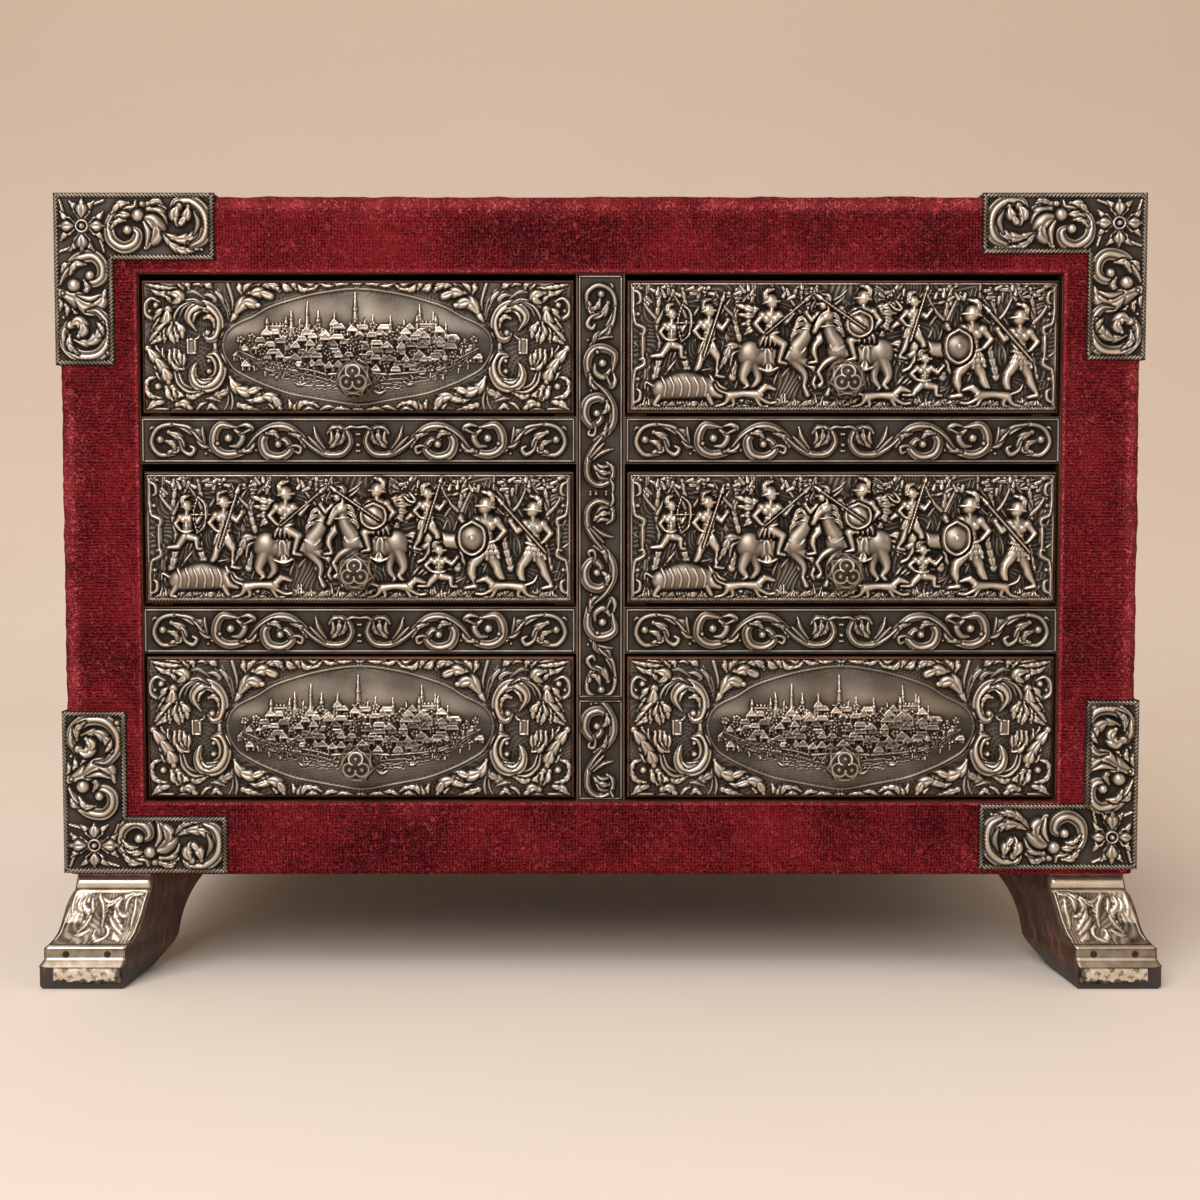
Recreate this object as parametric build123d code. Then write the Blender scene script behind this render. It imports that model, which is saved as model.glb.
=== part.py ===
from build123d import *
import math
import os

# Coin collector's table cabinet: a velvet-covered wooden carcase on four splayed
# feet, with six drawers in two columns, embossed silver mounts and coin boards.
# Millimetres. X runs across, Y from front to back (the front faces -Y), Z up.
# The origin is on the floor, in the middle of the overall box.

# ---------------------------------------------------------------- driving sizes
# Cabinet, over the velvet and without its feet
cabinet_width = 322.4
cabinet_height = 203.0
cabinet_depth = 240.0
velvet_thickness = 1.5

# Velvet borders around the drawer opening; what is left over is the top border
side_border = 23.7
bottom_border = 22.0

# Inner woodwork
partition_thickness = 14.5
rail_height = 14.0
rail_depth = 20.0
dust_board_thickness = 5.0
back_board_thickness = 10.0
woodwork_setback = 0.5

# Drawers
column_names = ("left", "right")
row_names = ("upper", "middle", "lower")
bay_height = {"upper": 42.4, "middle": 43.0, "lower": 44.8}
drawer_head_gap = {"upper": 1.9, "middle": 2.4, "lower": 1.0}
drawer_foot_gap = 1.1
drawer_side_gap = 0.75
drawer_back_gap = 0.3
drawer_front_thickness = 9.0
drawer_front_rounding = 0.8
drawer_side_thickness = 6.0
drawer_side_drop = 6.4
drawer_back_thickness = 6.0
drawer_bottom_thickness = 3.0
drawer_bottom_rise = 2.0
drawer_groove_depth = 2.5

# Coin boards, one coin size to each row of drawers
coin_board_thickness = 3.6
coin_board_clearance = 0.25
coin_hole_diameter = {"upper": 20.0, "middle": 25.0, "lower": 32.0}
coin_hole_spacing = 4.0

# Embossed plates on the drawer fronts, rails and stile
plate_thickness = 0.7
plaque_margin = 0.6
rail_plate_margin = 0.25
stile_plate_margin = 0.5
stile_plate_joint = 0.3
stile_plate_lower_length = 31.0
edge_rib_width = 0.7
edge_rib_height = 0.8
relief_height = 1.0
medallion_length = 78.0
medallion_height = 31.0
medallion_rim_width = 1.4
volute_radius = 4.2
volute_width = 1.5
volute_offset_x = 44.0
volute_offset_z = 6.0
strap_width = 2.0
strap_inset = 2.0

# Knobs
knob_radius = 5.5
knob_drop = 10.0
knob_neck_radius = 1.9
knob_neck_length = 1.8
knob_base_radius = 3.2
knob_base_height = 0.8
knob_button_radius = 2.2
knob_button_height = 0.4
knob_post_radius = 1.5
knob_nut_across = 6.0
knob_nut_height = 2.0
knob_nut_recess = 2.2
knob_nut_clearance = 0.4

# Corner mounts, from the cabinet's corner: the bar runs across it, the post up
# its side, and "gap" is what is left free along the bottom edge
corner_mounts = {
    "upper_left": {"bar": 47.7, "post": 50.8, "bar_width": 19.8, "post_width": 17.7, "gap": 0.0},
    "upper_right": {"bar": 48.9, "post": 49.3, "bar_width": 18.0, "post_width": 17.7, "gap": 0.0},
    "lower_left": {"bar": 49.5, "post": 49.2, "bar_width": 17.3, "post_width": 19.4, "gap": 0.4},
    "lower_right": {"bar": 48.0, "post": 51.4, "bar_width": 20.0, "post_width": 16.2, "gap": 1.5},
}
mount_thickness = 0.8
mount_flange_depth = 9.0
rope_width = 1.2
rope_height = 0.7
boss_radius = 1.5
boss_height = 1.2
leaf_length = 6.0
leaf_width = 2.2
mount_volute_radii = (3.4, 5.0)
mount_volute_places = (0.48, 0.82)
pin_head_radius = 0.9
pin_head_height = 0.4
pin_shank_radius = 0.45
pin_shank_length = 7.0
pin_places = (0.3, 0.85)

# Feet. Each section is a kite on the corner's diagonal, at a height: it starts
# "set_in" inside the cabinet's corner, its two outer faces are "face" wide, and it
# reaches "reach" along the diagonal
foot_height = 33.5
foot_sections = {
    "sole": {"height": 0.0, "set_in": -7.2, "face": 25.5, "reach": 27.7},
    "toe": {"height": 6.8, "set_in": -7.2, "face": 25.5, "reach": 33.6},
    "lip": {"height": 8.9, "set_in": -5.8, "face": 24.8, "reach": 33.3},
    "ledge": {"height": 12.2, "set_in": -5.8, "face": 24.8, "reach": 33.9},
    "ankle": {"height": 16.0, "set_in": -2.6, "face": 24.2, "reach": 31.5},
    "waist": {"height": 20.0, "set_in": -1.3, "face": 24.3, "reach": 31.6},
    "neck": {"height": 28.2, "set_in": 1.8, "face": 23.3, "reach": 34.0},
    "head": {"height": foot_height, "set_in": 2.7, "face": 22.7, "reach": 34.8},
}
foot_toe_rounding = 1.5
foot_toe_chamfer = 0.8
foot_tenon_radius = 5.0
foot_tenon_length = 14.0

# Silver mounts of the feet
foot_mount_thickness = 0.7
foot_mount_margin = 0.4
foot_toe_plate_margin = 4.5
foot_toe_plate_height = 5.0
foot_band_radius = 1.6
foot_band_height = 30.7
foot_nail_radius = 1.0
foot_nail_head_height = 0.6
foot_nail_shank_radius = 0.5
foot_nail_shank_length = 6.0
foot_nail_height = 10.5
foot_nail_places = (0.27, 0.77)

# --------------------------------------------------------------- worked-out sizes
half_width = cabinet_width / 2
knob_reach = knob_base_height + knob_neck_length + 2 * knob_radius + knob_button_height
front_reach = knob_reach + plate_thickness - woodwork_setback
back_reach = velvet_thickness - foot_sections["toe"]["set_in"] + foot_mount_thickness
wood_depth = cabinet_depth - 2 * velvet_thickness

front_y = (front_reach - back_reach - wood_depth) / 2
back_y = front_y + wood_depth
velvet_front_y = front_y - velvet_thickness
velvet_back_y = back_y + velvet_thickness
wood_half_width = half_width - velvet_thickness
inset_y = front_y + woodwork_setback

floor_of_case = foot_height
top_of_case = foot_height + cabinet_height
top_of_wood = top_of_case - velvet_thickness
opening_half_width = half_width - side_border
opening_floor = floor_of_case + bottom_border
back_board_y = back_y - back_board_thickness

bay_width = opening_half_width - partition_thickness / 2
bay_centre_x = {
    "left": -(partition_thickness + bay_width) / 2,
    "right": (partition_thickness + bay_width) / 2,
}
bay_floor = {"lower": opening_floor}
bay_floor["middle"] = bay_floor["lower"] + bay_height["lower"] + rail_height
bay_floor["upper"] = bay_floor["middle"] + bay_height["middle"] + rail_height
opening_top = bay_floor["upper"] + bay_height["upper"]

drawer_width = bay_width - 2 * drawer_side_gap
drawer_front_height = {
    name: bay_height[name] - drawer_foot_gap - drawer_head_gap[name] for name in row_names
}
drawer_back_y = back_board_y - drawer_back_gap
drawer_inner_y = inset_y + drawer_front_thickness
drawer_inner_width = drawer_width - 2 * drawer_side_thickness
plate_front_y = inset_y - plate_thickness


# ------------------------------------------------------------------------ helpers
def block(low, high):
    """A box between its lowest and highest corners."""
    size = [high[i] - low[i] for i in range(3)]
    middle = [(high[i] + low[i]) / 2 for i in range(3)]
    return Pos(*middle) * Box(*size)


def facing_front(y):
    """The plane parallel to the cabinet's front at y, its normal towards the front."""
    return Plane(origin=(0, y, 0), x_dir=(1, 0, 0), z_dir=(0, -1, 0))


def along_front(radius, length, x, y, z):
    """A cylinder that runs from y towards the front."""
    centre = (x, y - length / 2, z)
    return Pos(*centre) * Rot(90, 0, 0) * Cylinder(radius, length)


def raised(sketch, y, height):
    """A sketch on the front-facing plane at y, raised towards the front."""
    return extrude(facing_front(y) * sketch, amount=height)


def save(name, *solids):
    """Writes a node from its separate solids."""
    found = [s for shape in solids for s in shape.solids()]
    shape = found[0] if len(found) == 1 else Compound(children=found)
    export_step(shape, f"parts/{name}.step")


def pin(head_radius, head_height, shank_radius, shank_length):
    """A round-headed pin that stands on the plane z = 0, its shank below it."""
    head = Pos(0, 0, head_height / 2) * Cylinder(head_radius, head_height)
    head = fillet(head.edges().sort_by(Axis.Z)[-1], 0.8 * head_height)
    shank = Pos(0, 0, -shank_length / 2) * Cylinder(shank_radius, shank_length)
    return head + shank


def pin_from_front(x, y, z, *sizes):
    """A pin whose head stands on the plane at y, facing the front."""
    return Pos(x, y, z) * Rot(90, 0, 0) * pin(*sizes)


# ------------------------------------------------------------------------ carcase
def bottom_board(tenons):
    low = (-wood_half_width, front_y, floor_of_case)
    high = (wood_half_width, back_y, opening_floor)
    return block(low, high) - tenons


def top_board():
    low = (-wood_half_width, front_y, opening_top)
    return block(low, (wood_half_width, back_y, top_of_wood))


def side_board(side):
    inner, outer = side * opening_half_width, side * wood_half_width
    low = (min(inner, outer), front_y, opening_floor)
    return block(low, (max(inner, outer), back_y, opening_top))


def back_board():
    low = (-opening_half_width, back_board_y, opening_floor)
    return block(low, (opening_half_width, back_y, opening_top))


def centre_partition():
    half = partition_thickness / 2
    return block((-half, inset_y, opening_floor), (half, back_board_y, opening_top))


def divider_rail(column, row):
    """The bar under a bay that carries the front of its drawer."""
    x, top = bay_centre_x[column], bay_floor[row]
    low = (x - bay_width / 2, inset_y, top - rail_height)
    return block(low, (x + bay_width / 2, inset_y + rail_depth, top))


def dust_board(column, row):
    """The board behind a divider rail that the drawer slides on."""
    x, top = bay_centre_x[column], bay_floor[row]
    low = (x - bay_width / 2, inset_y + rail_depth, top - dust_board_thickness)
    return block(low, (x + bay_width / 2, back_board_y, top))


def velvet_cover():
    """Velvet over the front frame, the top and both sides, open below and behind."""
    outer_low = (-half_width, velvet_front_y, floor_of_case)
    outer = block(outer_low, (half_width, back_y, top_of_case))
    wood_low = (-wood_half_width, front_y, floor_of_case)
    wood = block(wood_low, (wood_half_width, back_y, top_of_wood))
    opening_low = (-opening_half_width, velvet_front_y, opening_floor)
    opening = block(opening_low, (opening_half_width, front_y, opening_top))
    return outer - wood - opening


def velvet_back():
    """The separate piece of velvet on the back, over the edges of the cover."""
    low = (-half_width, back_y, floor_of_case)
    return block(low, (half_width, velvet_back_y, top_of_case))


# --------------------------------------------------------------------------- feet
def kite(section):
    """A foot's section at its height, in the corner's own frame, x and y inwards."""
    start, face, reach = section["set_in"], section["face"], section["reach"]
    points = [
        (start, start),
        (start + face, start),
        (start + reach, start + reach),
        (start, start + face),
    ]
    return Plane.XY.offset(section["height"]) * make_face(Polyline(*points, close=True))


def strip(section):
    """A section of a foot mount: a strip over the front face, reaching into the foot."""
    start, face = section["set_in"], section["face"]
    left, right = start + foot_mount_margin, start + face - foot_mount_margin
    front, behind = start - foot_mount_thickness, start + foot_mount_thickness
    points = [(left, front), (right, front), (right, behind), (left, behind)]
    return Plane.XY.offset(section["height"]) * make_face(Polyline(*points, close=True))


def between(outline, *names):
    """A body through the named sections: straight through two, curved through more."""
    sections = [outline(foot_sections[name]) for name in names]
    return loft(sections, ruled=len(names) == 2)


def foot():
    """The foot at the front left corner, in the corner's frame, sole at height 0."""
    toe = between(kite, "sole", "toe")
    corner_edge = toe.edges().sort_by(lambda edge: edge.center().X + edge.center().Y)[0]
    toe = fillet(corner_edge, foot_toe_rounding)
    toe = chamfer(toe.faces().sort_by(Axis.Z)[0].edges(), foot_toe_chamfer)
    body = toe + between(kite, "toe", "lip") + between(kite, "lip", "ledge")
    body += between(kite, "ledge", "ankle", "waist", "neck")
    body += between(kite, "neck", "head")
    head = foot_sections["head"]
    middle = head["set_in"] + head["reach"] / 2
    tenon = Cylinder(foot_tenon_radius, 2 * foot_tenon_length)
    return body + Pos(middle, middle, foot_height) * tenon


def foot_mount(wood):
    """The silver mount on the front face of a foot, in the corner's frame."""
    toe, head = foot_sections["toe"], foot_sections["head"]
    body = between(strip, "toe", "lip") + between(strip, "lip", "ledge")
    body += between(strip, "ledge", "ankle", "waist", "neck")
    body += between(strip, "neck", "head")
    body += block(
        (toe["set_in"] + foot_toe_plate_margin, toe["set_in"] - foot_mount_thickness,
         toe["height"] - foot_toe_plate_height),
        (toe["set_in"] + toe["face"] - foot_mount_margin, toe["set_in"], toe["height"]),
    )
    length = head["face"]
    band = Pos(head["set_in"] + length / 2, head["set_in"], foot_band_height) * (
        Rot(0, 90, 0) * Cylinder(foot_band_radius, length)
    )
    return body + band - wood


def foot_nails():
    """The two nails through the ledge of a foot mount, in the corner's frame."""
    ledge = foot_sections["ledge"]
    face_y = ledge["set_in"] - foot_mount_thickness
    return [
        pin_from_front(
            ledge["set_in"] + share * ledge["face"],
            face_y,
            foot_nail_height,
            foot_nail_radius,
            foot_nail_head_height,
            foot_nail_shank_radius,
            foot_nail_shank_length,
        )
        for share in foot_nail_places
    ]


def at_corners(shape):
    """A foot piece at all four corners of the cabinet."""
    front_left = Pos(-half_width, velvet_front_y, 0) * shape
    front_right = mirror(front_left, about=Plane.YZ)
    middle = Plane(origin=(0, (velvet_front_y + velvet_back_y) / 2, 0), z_dir=(0, 1, 0))
    back = [mirror(piece, about=middle) for piece in (front_left, front_right)]
    return [front_left, front_right, *back]


# ------------------------------------------------------------------ corner mounts
def mount_face(sizes):
    """The embossed front of a mount, in its corner's frame.

    x runs inwards across the cabinet and z inwards from its top or bottom edge;
    the velvet's front is y = 0.
    """
    t, start = mount_thickness, sizes["gap"] - mount_thickness * (sizes["gap"] == 0)
    bar, post = sizes["bar"], sizes["post"]
    bar_width, post_width = sizes["bar_width"], sizes["post_width"]
    outline = Polyline(
        (-t, start),
        (bar, start),
        (bar, bar_width),
        (post_width, bar_width),
        (post_width, post),
        (-t, post),
        close=True,
    )
    face = make_face(outline)
    border = face - offset(face, -rope_width, kind=Kind.INTERSECTION)
    centre_x, centre_z = (post_width - t) / 2, (bar_width + start) / 2
    leaf_middle = 0.7 * boss_radius + leaf_length / 2
    leaf = Pos(leaf_middle, 0) * Ellipse(leaf_length / 2, leaf_width / 2)
    ornament = border
    for i in range(4):
        ornament += Pos(centre_x, centre_z) * Rot(0, 0, 45 + 90 * i) * leaf
    for share, radius in zip(mount_volute_places, mount_volute_radii):
        ring = Circle(radius) - Circle(radius - volute_width)
        ornament += Pos(share * bar, centre_z) * ring
        ornament += Pos(centre_x, share * post) * ring
    boss = pin_from_front(centre_x, -t, centre_z, boss_radius, boss_height, t / 2, t / 2)
    return raised(face, 0, t) + raised(ornament, -t / 2, t / 2 + rope_height) + boss


def edge_flange(length, start):
    """A flange folded over the upper edge, from x = start, on the plane z = 0."""
    return block((start, 0, -mount_thickness), (length, mount_flange_depth, 0))


def edge_pins(length):
    """The pins down through a flange on the upper edge."""
    sizes = (pin_head_radius, pin_head_height, pin_shank_radius, pin_shank_length)
    level = -mount_thickness
    upright = Rot(180, 0, 0) * pin(*sizes)
    return [Pos(share * length, mount_flange_depth / 2, level) * upright for share in pin_places]


def onto_side(shape):
    """Turns a piece on the upper edge onto the cabinet's side, x and z changed over."""
    return mirror(shape, about=Plane(origin=(0, 0, 0), x_dir=(0, 1, 0), z_dir=(1, 0, -1)))


def mount_and_pins(sizes, has_top_flange):
    """A mount with its flanges, and its pins, in the corner's frame."""
    side_start = -mount_thickness if has_top_flange else sizes["gap"]
    body = mount_face(sizes) + onto_side(edge_flange(sizes["post"], side_start))
    pins = [onto_side(piece) for piece in edge_pins(sizes["post"])]
    if has_top_flange:
        body += edge_flange(sizes["bar"], -mount_thickness)
        pins += edge_pins(sizes["bar"])
    for piece in pins:
        body -= piece
    return body, pins


def at_corner(shape, name):
    """Moves a piece from a corner's frame to the named corner of the cabinet."""
    upper, left = name.startswith("upper"), name.endswith("left")
    if upper:
        shape = mirror(shape, about=Plane.XY)
    edge_z = top_of_case if upper else floor_of_case
    placed = Pos(-half_width, velvet_front_y, edge_z) * shape
    return placed if left else mirror(placed, about=Plane.YZ)


# ---------------------------------------------------------------- embossed plates
def strip_plate(low_x, high_x, low_z, high_z, ribs_run_up):
    """A flat strip with a raised rib along both of its long edges."""
    plate = block((low_x, plate_front_y, low_z), (high_x, inset_y, high_z))
    rib_front = plate_front_y - edge_rib_height
    for at_low in (True, False):
        if ribs_run_up:
            start = low_x if at_low else high_x - edge_rib_width
            low, high = (start, low_z), (start + edge_rib_width, high_z)
        else:
            start = low_z if at_low else high_z - edge_rib_width
            low, high = (low_x, start), (high_x, start + edge_rib_width)
        plate += block((low[0], rib_front, low[1]), (high[0], plate_front_y, high[1]))
    return plate


def rail_plate(column, row):
    x, top = bay_centre_x[column], bay_floor[row]
    half = bay_width / 2 - rail_plate_margin
    low_z, high_z = top - rail_height + rail_plate_margin, top - rail_plate_margin
    return strip_plate(x - half, x + half, low_z, high_z, ribs_run_up=False)


def stile_plate(low_z, high_z):
    half = partition_thickness / 2 - stile_plate_margin
    return strip_plate(-half, half, low_z, high_z, ribs_run_up=True)


def pointed_oval(length, height):
    """The shape that two arcs enclose between two points, length apart."""
    radius = (length**2 + height**2) / (4 * height)
    lift = radius - height / 2
    return (Pos(0, lift) * Circle(radius)) & (Pos(0, -lift) * Circle(radius))


def plaque(x, centre_z, row, with_medallion):
    """The embossed plate of a drawer front, with a pointed medallion or a plain frame."""
    half_x = drawer_width / 2 - plaque_margin
    half_z = drawer_front_height[row] / 2 - plaque_margin
    low, high = (x - half_x, centre_z - half_z), (x + half_x, centre_z + half_z)
    plate = block((low[0], plate_front_y, low[1]), (high[0], inset_y, high[1]))
    if with_medallion:
        inner_height = medallion_height - 2 * medallion_rim_width
        inner_length = medallion_length * inner_height / medallion_height
        ornament = pointed_oval(medallion_length, medallion_height)
        ornament -= pointed_oval(inner_length, inner_height)
        volute = Circle(volute_radius) - Circle(volute_radius - volute_width)
        for side in (-1, 1):
            for up in (-1, 1):
                ornament += Pos(side * volute_offset_x, up * volute_offset_z) * volute
    else:
        frame_x, frame_z = half_x - strap_inset, half_z - strap_inset
        outer = Rectangle(2 * frame_x, 2 * frame_z)
        ornament = outer - Rectangle(2 * (frame_x - strap_width), 2 * (frame_z - strap_width))
    return plate + raised(Pos(x, centre_z) * ornament, plate_front_y, relief_height)


# ------------------------------------------------------------------------ drawers
def knob(x, z):
    """A ball knob on a neck, with the post that holds it through the drawer front."""
    plane = plate_front_y
    neck_end = plane - knob_base_height - knob_neck_length
    ball_y = neck_end - knob_radius
    base = along_front(knob_base_radius, knob_base_height, x, plane, z)
    neck = along_front(knob_neck_radius, knob_neck_length + knob_radius, x, plane, z)
    ball = Pos(x, ball_y, z) * Sphere(knob_radius)
    button_length = knob_radius + knob_button_height
    button = along_front(knob_button_radius, button_length, x, ball_y, z)
    post_end = drawer_inner_y - knob_nut_recess + knob_nut_height
    post = along_front(knob_post_radius, post_end - plane, x, post_end, z)
    return base + neck + ball + button + post


def knob_nut(x, z):
    """The square nut on the post, let into the back of the drawer front."""
    half, seat = knob_nut_across / 2, drawer_inner_y - knob_nut_recess
    nut_end = seat + knob_nut_height
    nut = block((x - half, seat, z - half), (x + half, nut_end, z + half))
    return nut - along_front(knob_post_radius, knob_nut_height, x, nut_end, z)


def coin_board(x, floor_z, hole_diameter):
    """A board pierced with a grid of coin holes, lying on the drawer's bottom."""
    half = drawer_inner_width / 2 - coin_board_clearance
    front = drawer_inner_y + coin_board_clearance
    back = drawer_back_y - drawer_back_thickness - coin_board_clearance
    board = block((x - half, front, floor_z), (x + half, back, floor_z + coin_board_thickness))
    pitch = hole_diameter + coin_hole_spacing
    across = int((2 * half - coin_hole_spacing) // pitch)
    along = int((back - front - coin_hole_spacing) // pitch)
    step_x = (2 * half - coin_hole_spacing) / across
    step_y = (back - front - coin_hole_spacing) / along
    hole = Cylinder(hole_diameter / 2, coin_board_thickness)
    places = GridLocations(step_x, step_y, across, along)
    middle_z = floor_z + coin_board_thickness / 2
    holes = [Pos(x, (front + back) / 2, middle_z) * place * hole for place in places]
    return board - holes


def make_drawer(row, column, with_medallion):
    """Builds and writes every piece of one drawer."""
    name = f"{row}_{column}"
    x, floor_z = bay_centre_x[column], bay_floor[row]
    half = drawer_width / 2
    front_floor = floor_z + drawer_foot_gap
    front_top = front_floor + drawer_front_height[row]
    centre_z = (front_floor + front_top) / 2
    knob_z = centre_z - knob_drop

    bottom_floor = floor_z + drawer_bottom_rise
    bottom_top = bottom_floor + drawer_bottom_thickness
    bottom_half = drawer_inner_width / 2 + drawer_groove_depth
    bottom = block(
        (x - bottom_half, drawer_inner_y - drawer_groove_depth, bottom_floor),
        (x + bottom_half, drawer_back_y - drawer_back_thickness + drawer_groove_depth, bottom_top),
    )

    front = block((x - half, inset_y, front_floor), (x + half, drawer_inner_y, front_top))
    front = fillet(front.faces().sort_by(Axis.Y)[0].edges(), drawer_front_rounding)
    knob_solid = knob(x, knob_z)
    recess_radius = knob_nut_across / math.sqrt(2) + knob_nut_clearance
    recess = along_front(recess_radius, knob_nut_recess, x, drawer_inner_y, knob_z)
    front = front - bottom - recess - knob_solid

    side_top = front_top - drawer_side_drop
    sides = []
    for side in (-1, 1):
        outer, inner = x + side * half, x + side * (half - drawer_side_thickness)
        low = (min(outer, inner), drawer_inner_y, floor_z)
        sides.append(block(low, (max(outer, inner), drawer_back_y, side_top)) - bottom)
    inner_half = drawer_inner_width / 2
    back = block(
        (x - inner_half, drawer_back_y - drawer_back_thickness, floor_z),
        (x + inner_half, drawer_back_y, side_top),
    )
    back = back - bottom

    plate = plaque(x, centre_z, row, with_medallion) - knob_solid
    save(f"{name}_drawer_front", front)
    save(f"{name}_drawer_sides_and_back", *sides, back)
    save(f"{name}_drawer_bottom", bottom)
    save(f"{name}_coin_board", coin_board(x, bottom_top, coin_hole_diameter[row]))
    save(f"{name}_plaque", plate)
    save(f"{name}_knob", knob_solid, knob_nut(x, knob_z))


# --------------------------------------------------------------------------- build
def make_feet():
    """Builds and writes the feet, their silver mounts and nails; returns the feet."""
    wood, nails = foot(), foot_nails()
    silver = foot_mount(wood)
    for nail in nails:
        silver -= nail
        wood -= nail
    feet = at_corners(wood)
    save("feet", *feet)
    save("foot_mounts", *at_corners(silver))
    save("foot_nails", *[placed for nail in nails for placed in at_corners(nail)])
    return feet


def make_corner_mounts():
    """Builds and writes the corner mounts and their pins; returns the pins."""
    all_pins = []
    for name, sizes in corner_mounts.items():
        body, pins = mount_and_pins(sizes, has_top_flange=name.startswith("upper"))
        save(f"{name}_corner_mount", at_corner(body, name))
        all_pins += [at_corner(piece, name) for piece in pins]
    save("mount_pins", *all_pins)
    return all_pins


def main():
    os.makedirs("parts", exist_ok=True)

    feet = make_feet()
    pins = make_corner_mounts()
    save("velvet_cover", velvet_cover() - pins)
    save("velvet_back", velvet_back())
    save("top_board", top_board() - pins)
    save("bottom_board", bottom_board(feet) - pins)
    save("left_side_board", side_board(-1) - pins)
    save("right_side_board", side_board(1) - pins)
    save("back_board", back_board())
    save("centre_partition", centre_partition())

    carried_rows = row_names[:-1]
    for column in column_names:
        save(f"{column}_divider_rails", *[divider_rail(column, row) for row in carried_rows])
        save(f"{column}_dust_boards", *[dust_board(column, row) for row in carried_rows])
        save(f"{column}_rail_plates", *[rail_plate(column, row) for row in carried_rows])
    joint_z = opening_floor + stile_plate_lower_length
    save("lower_stile_plate", stile_plate(opening_floor + stile_plate_joint, joint_z))
    save("upper_stile_plate", stile_plate(joint_z + stile_plate_joint, opening_top - stile_plate_joint))

    for column in column_names:
        for row in row_names:
            has_frame = row == "middle" or (row, column) == ("upper", "right")
            make_drawer(row, column, with_medallion=not has_frame)


main()
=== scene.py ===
"""A coin collector's cabinet: a velvet case on feet, silver mounts and six drawers."""
import logging
import math
from dataclasses import dataclass, field, replace
from enum import Enum
from typing import Callable, Iterable, Sequence

import bmesh
import bpy
import numpy as np
from mathutils import Matrix, Vector, noise
from mathutils.bvhtree import BVHTree


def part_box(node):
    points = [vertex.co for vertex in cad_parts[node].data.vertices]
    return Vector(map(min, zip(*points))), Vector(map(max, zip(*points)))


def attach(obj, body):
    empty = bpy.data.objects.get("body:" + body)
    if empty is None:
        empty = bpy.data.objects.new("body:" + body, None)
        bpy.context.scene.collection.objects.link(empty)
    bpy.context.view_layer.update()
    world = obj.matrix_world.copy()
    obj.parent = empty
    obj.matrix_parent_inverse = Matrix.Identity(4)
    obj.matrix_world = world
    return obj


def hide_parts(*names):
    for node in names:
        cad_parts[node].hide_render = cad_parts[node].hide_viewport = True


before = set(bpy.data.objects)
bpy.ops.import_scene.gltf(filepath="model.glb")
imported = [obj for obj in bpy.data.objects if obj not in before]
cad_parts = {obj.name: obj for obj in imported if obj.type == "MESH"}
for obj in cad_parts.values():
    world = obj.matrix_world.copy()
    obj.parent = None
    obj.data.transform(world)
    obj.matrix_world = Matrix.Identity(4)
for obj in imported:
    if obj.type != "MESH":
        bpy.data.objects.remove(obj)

MM = 0.001
CASE_HALF_WIDTH = 161.2
CASE_FRONT = -117.6
Point = tuple[float, float]
log = logging.getLogger("cabinet")


# ------------------------------------------------------------------ finishes
def linear(colour: str) -> tuple[float, float, float, float]:
    """Turns an sRGB colour into the linear one a shader takes.

    Args:
        colour: the colour as six hex digits, with or without a leading #.

    Returns:
        Linear red, green, blue and an alpha of 1.
    """
    digits = colour.lstrip("#")
    parts = [int(digits[start : start + 2], 16) / 255 for start in (0, 2, 4)]
    red, green, blue = (
        part / 12.92 if part <= 0.04045 else ((part + 0.055) / 1.055) ** 2.4 for part in parts
    )
    return red, green, blue, 1.0


def feed(node: bpy.types.Node, inputs: dict) -> None:
    """Sets a node's sockets.

    Args:
        node: the node.
        inputs: a value to hold or an output to follow for each socket, by name or number.
    """
    for name, value in inputs.items():
        if isinstance(value, bpy.types.NodeSocket):
            node.id_data.links.new(value, node.inputs[name])
        else:
            node.inputs[name].default_value = value


def add_node(
    tree: bpy.types.NodeTree,
    kind: str,
    inputs: dict | None = None,
    stops: Sequence[tuple[float, str]] = (),
    **settings,
) -> bpy.types.bpy_prop_collection:
    """Adds one node with its settings, values and links.

    Args:
        tree: the node tree of the finish.
        kind: the node's Blender type, without ShaderNode.
        inputs: what its sockets hold or follow, by name or number.
        stops: places and sRGB colours of a colour ramp.
        settings: the node's own properties.

    Returns:
        The new node's outputs.
    """
    node = tree.nodes.new("ShaderNode" + kind)
    for name, value in settings.items():
        setattr(node, name, value)
    if stops:
        ramp = node.color_ramp.elements
        while len(ramp) < len(stops):
            ramp.new(0.5)
        for stop, (place, colour) in zip(ramp, stops):
            stop.position, stop.color = place, linear(colour)
    feed(node, inputs or {})
    return node.outputs


def new_finish(name: str) -> tuple[bpy.types.Material, bpy.types.NodeTree, bpy.types.Node]:
    """Starts a finish.

    Args:
        name: the finish's name in plain words.

    Returns:
        The material, its node tree and its shader.
    """
    material = bpy.data.materials.new(name)
    material.use_nodes = True
    return material, material.node_tree, material.node_tree.nodes["Principled BSDF"]


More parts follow.
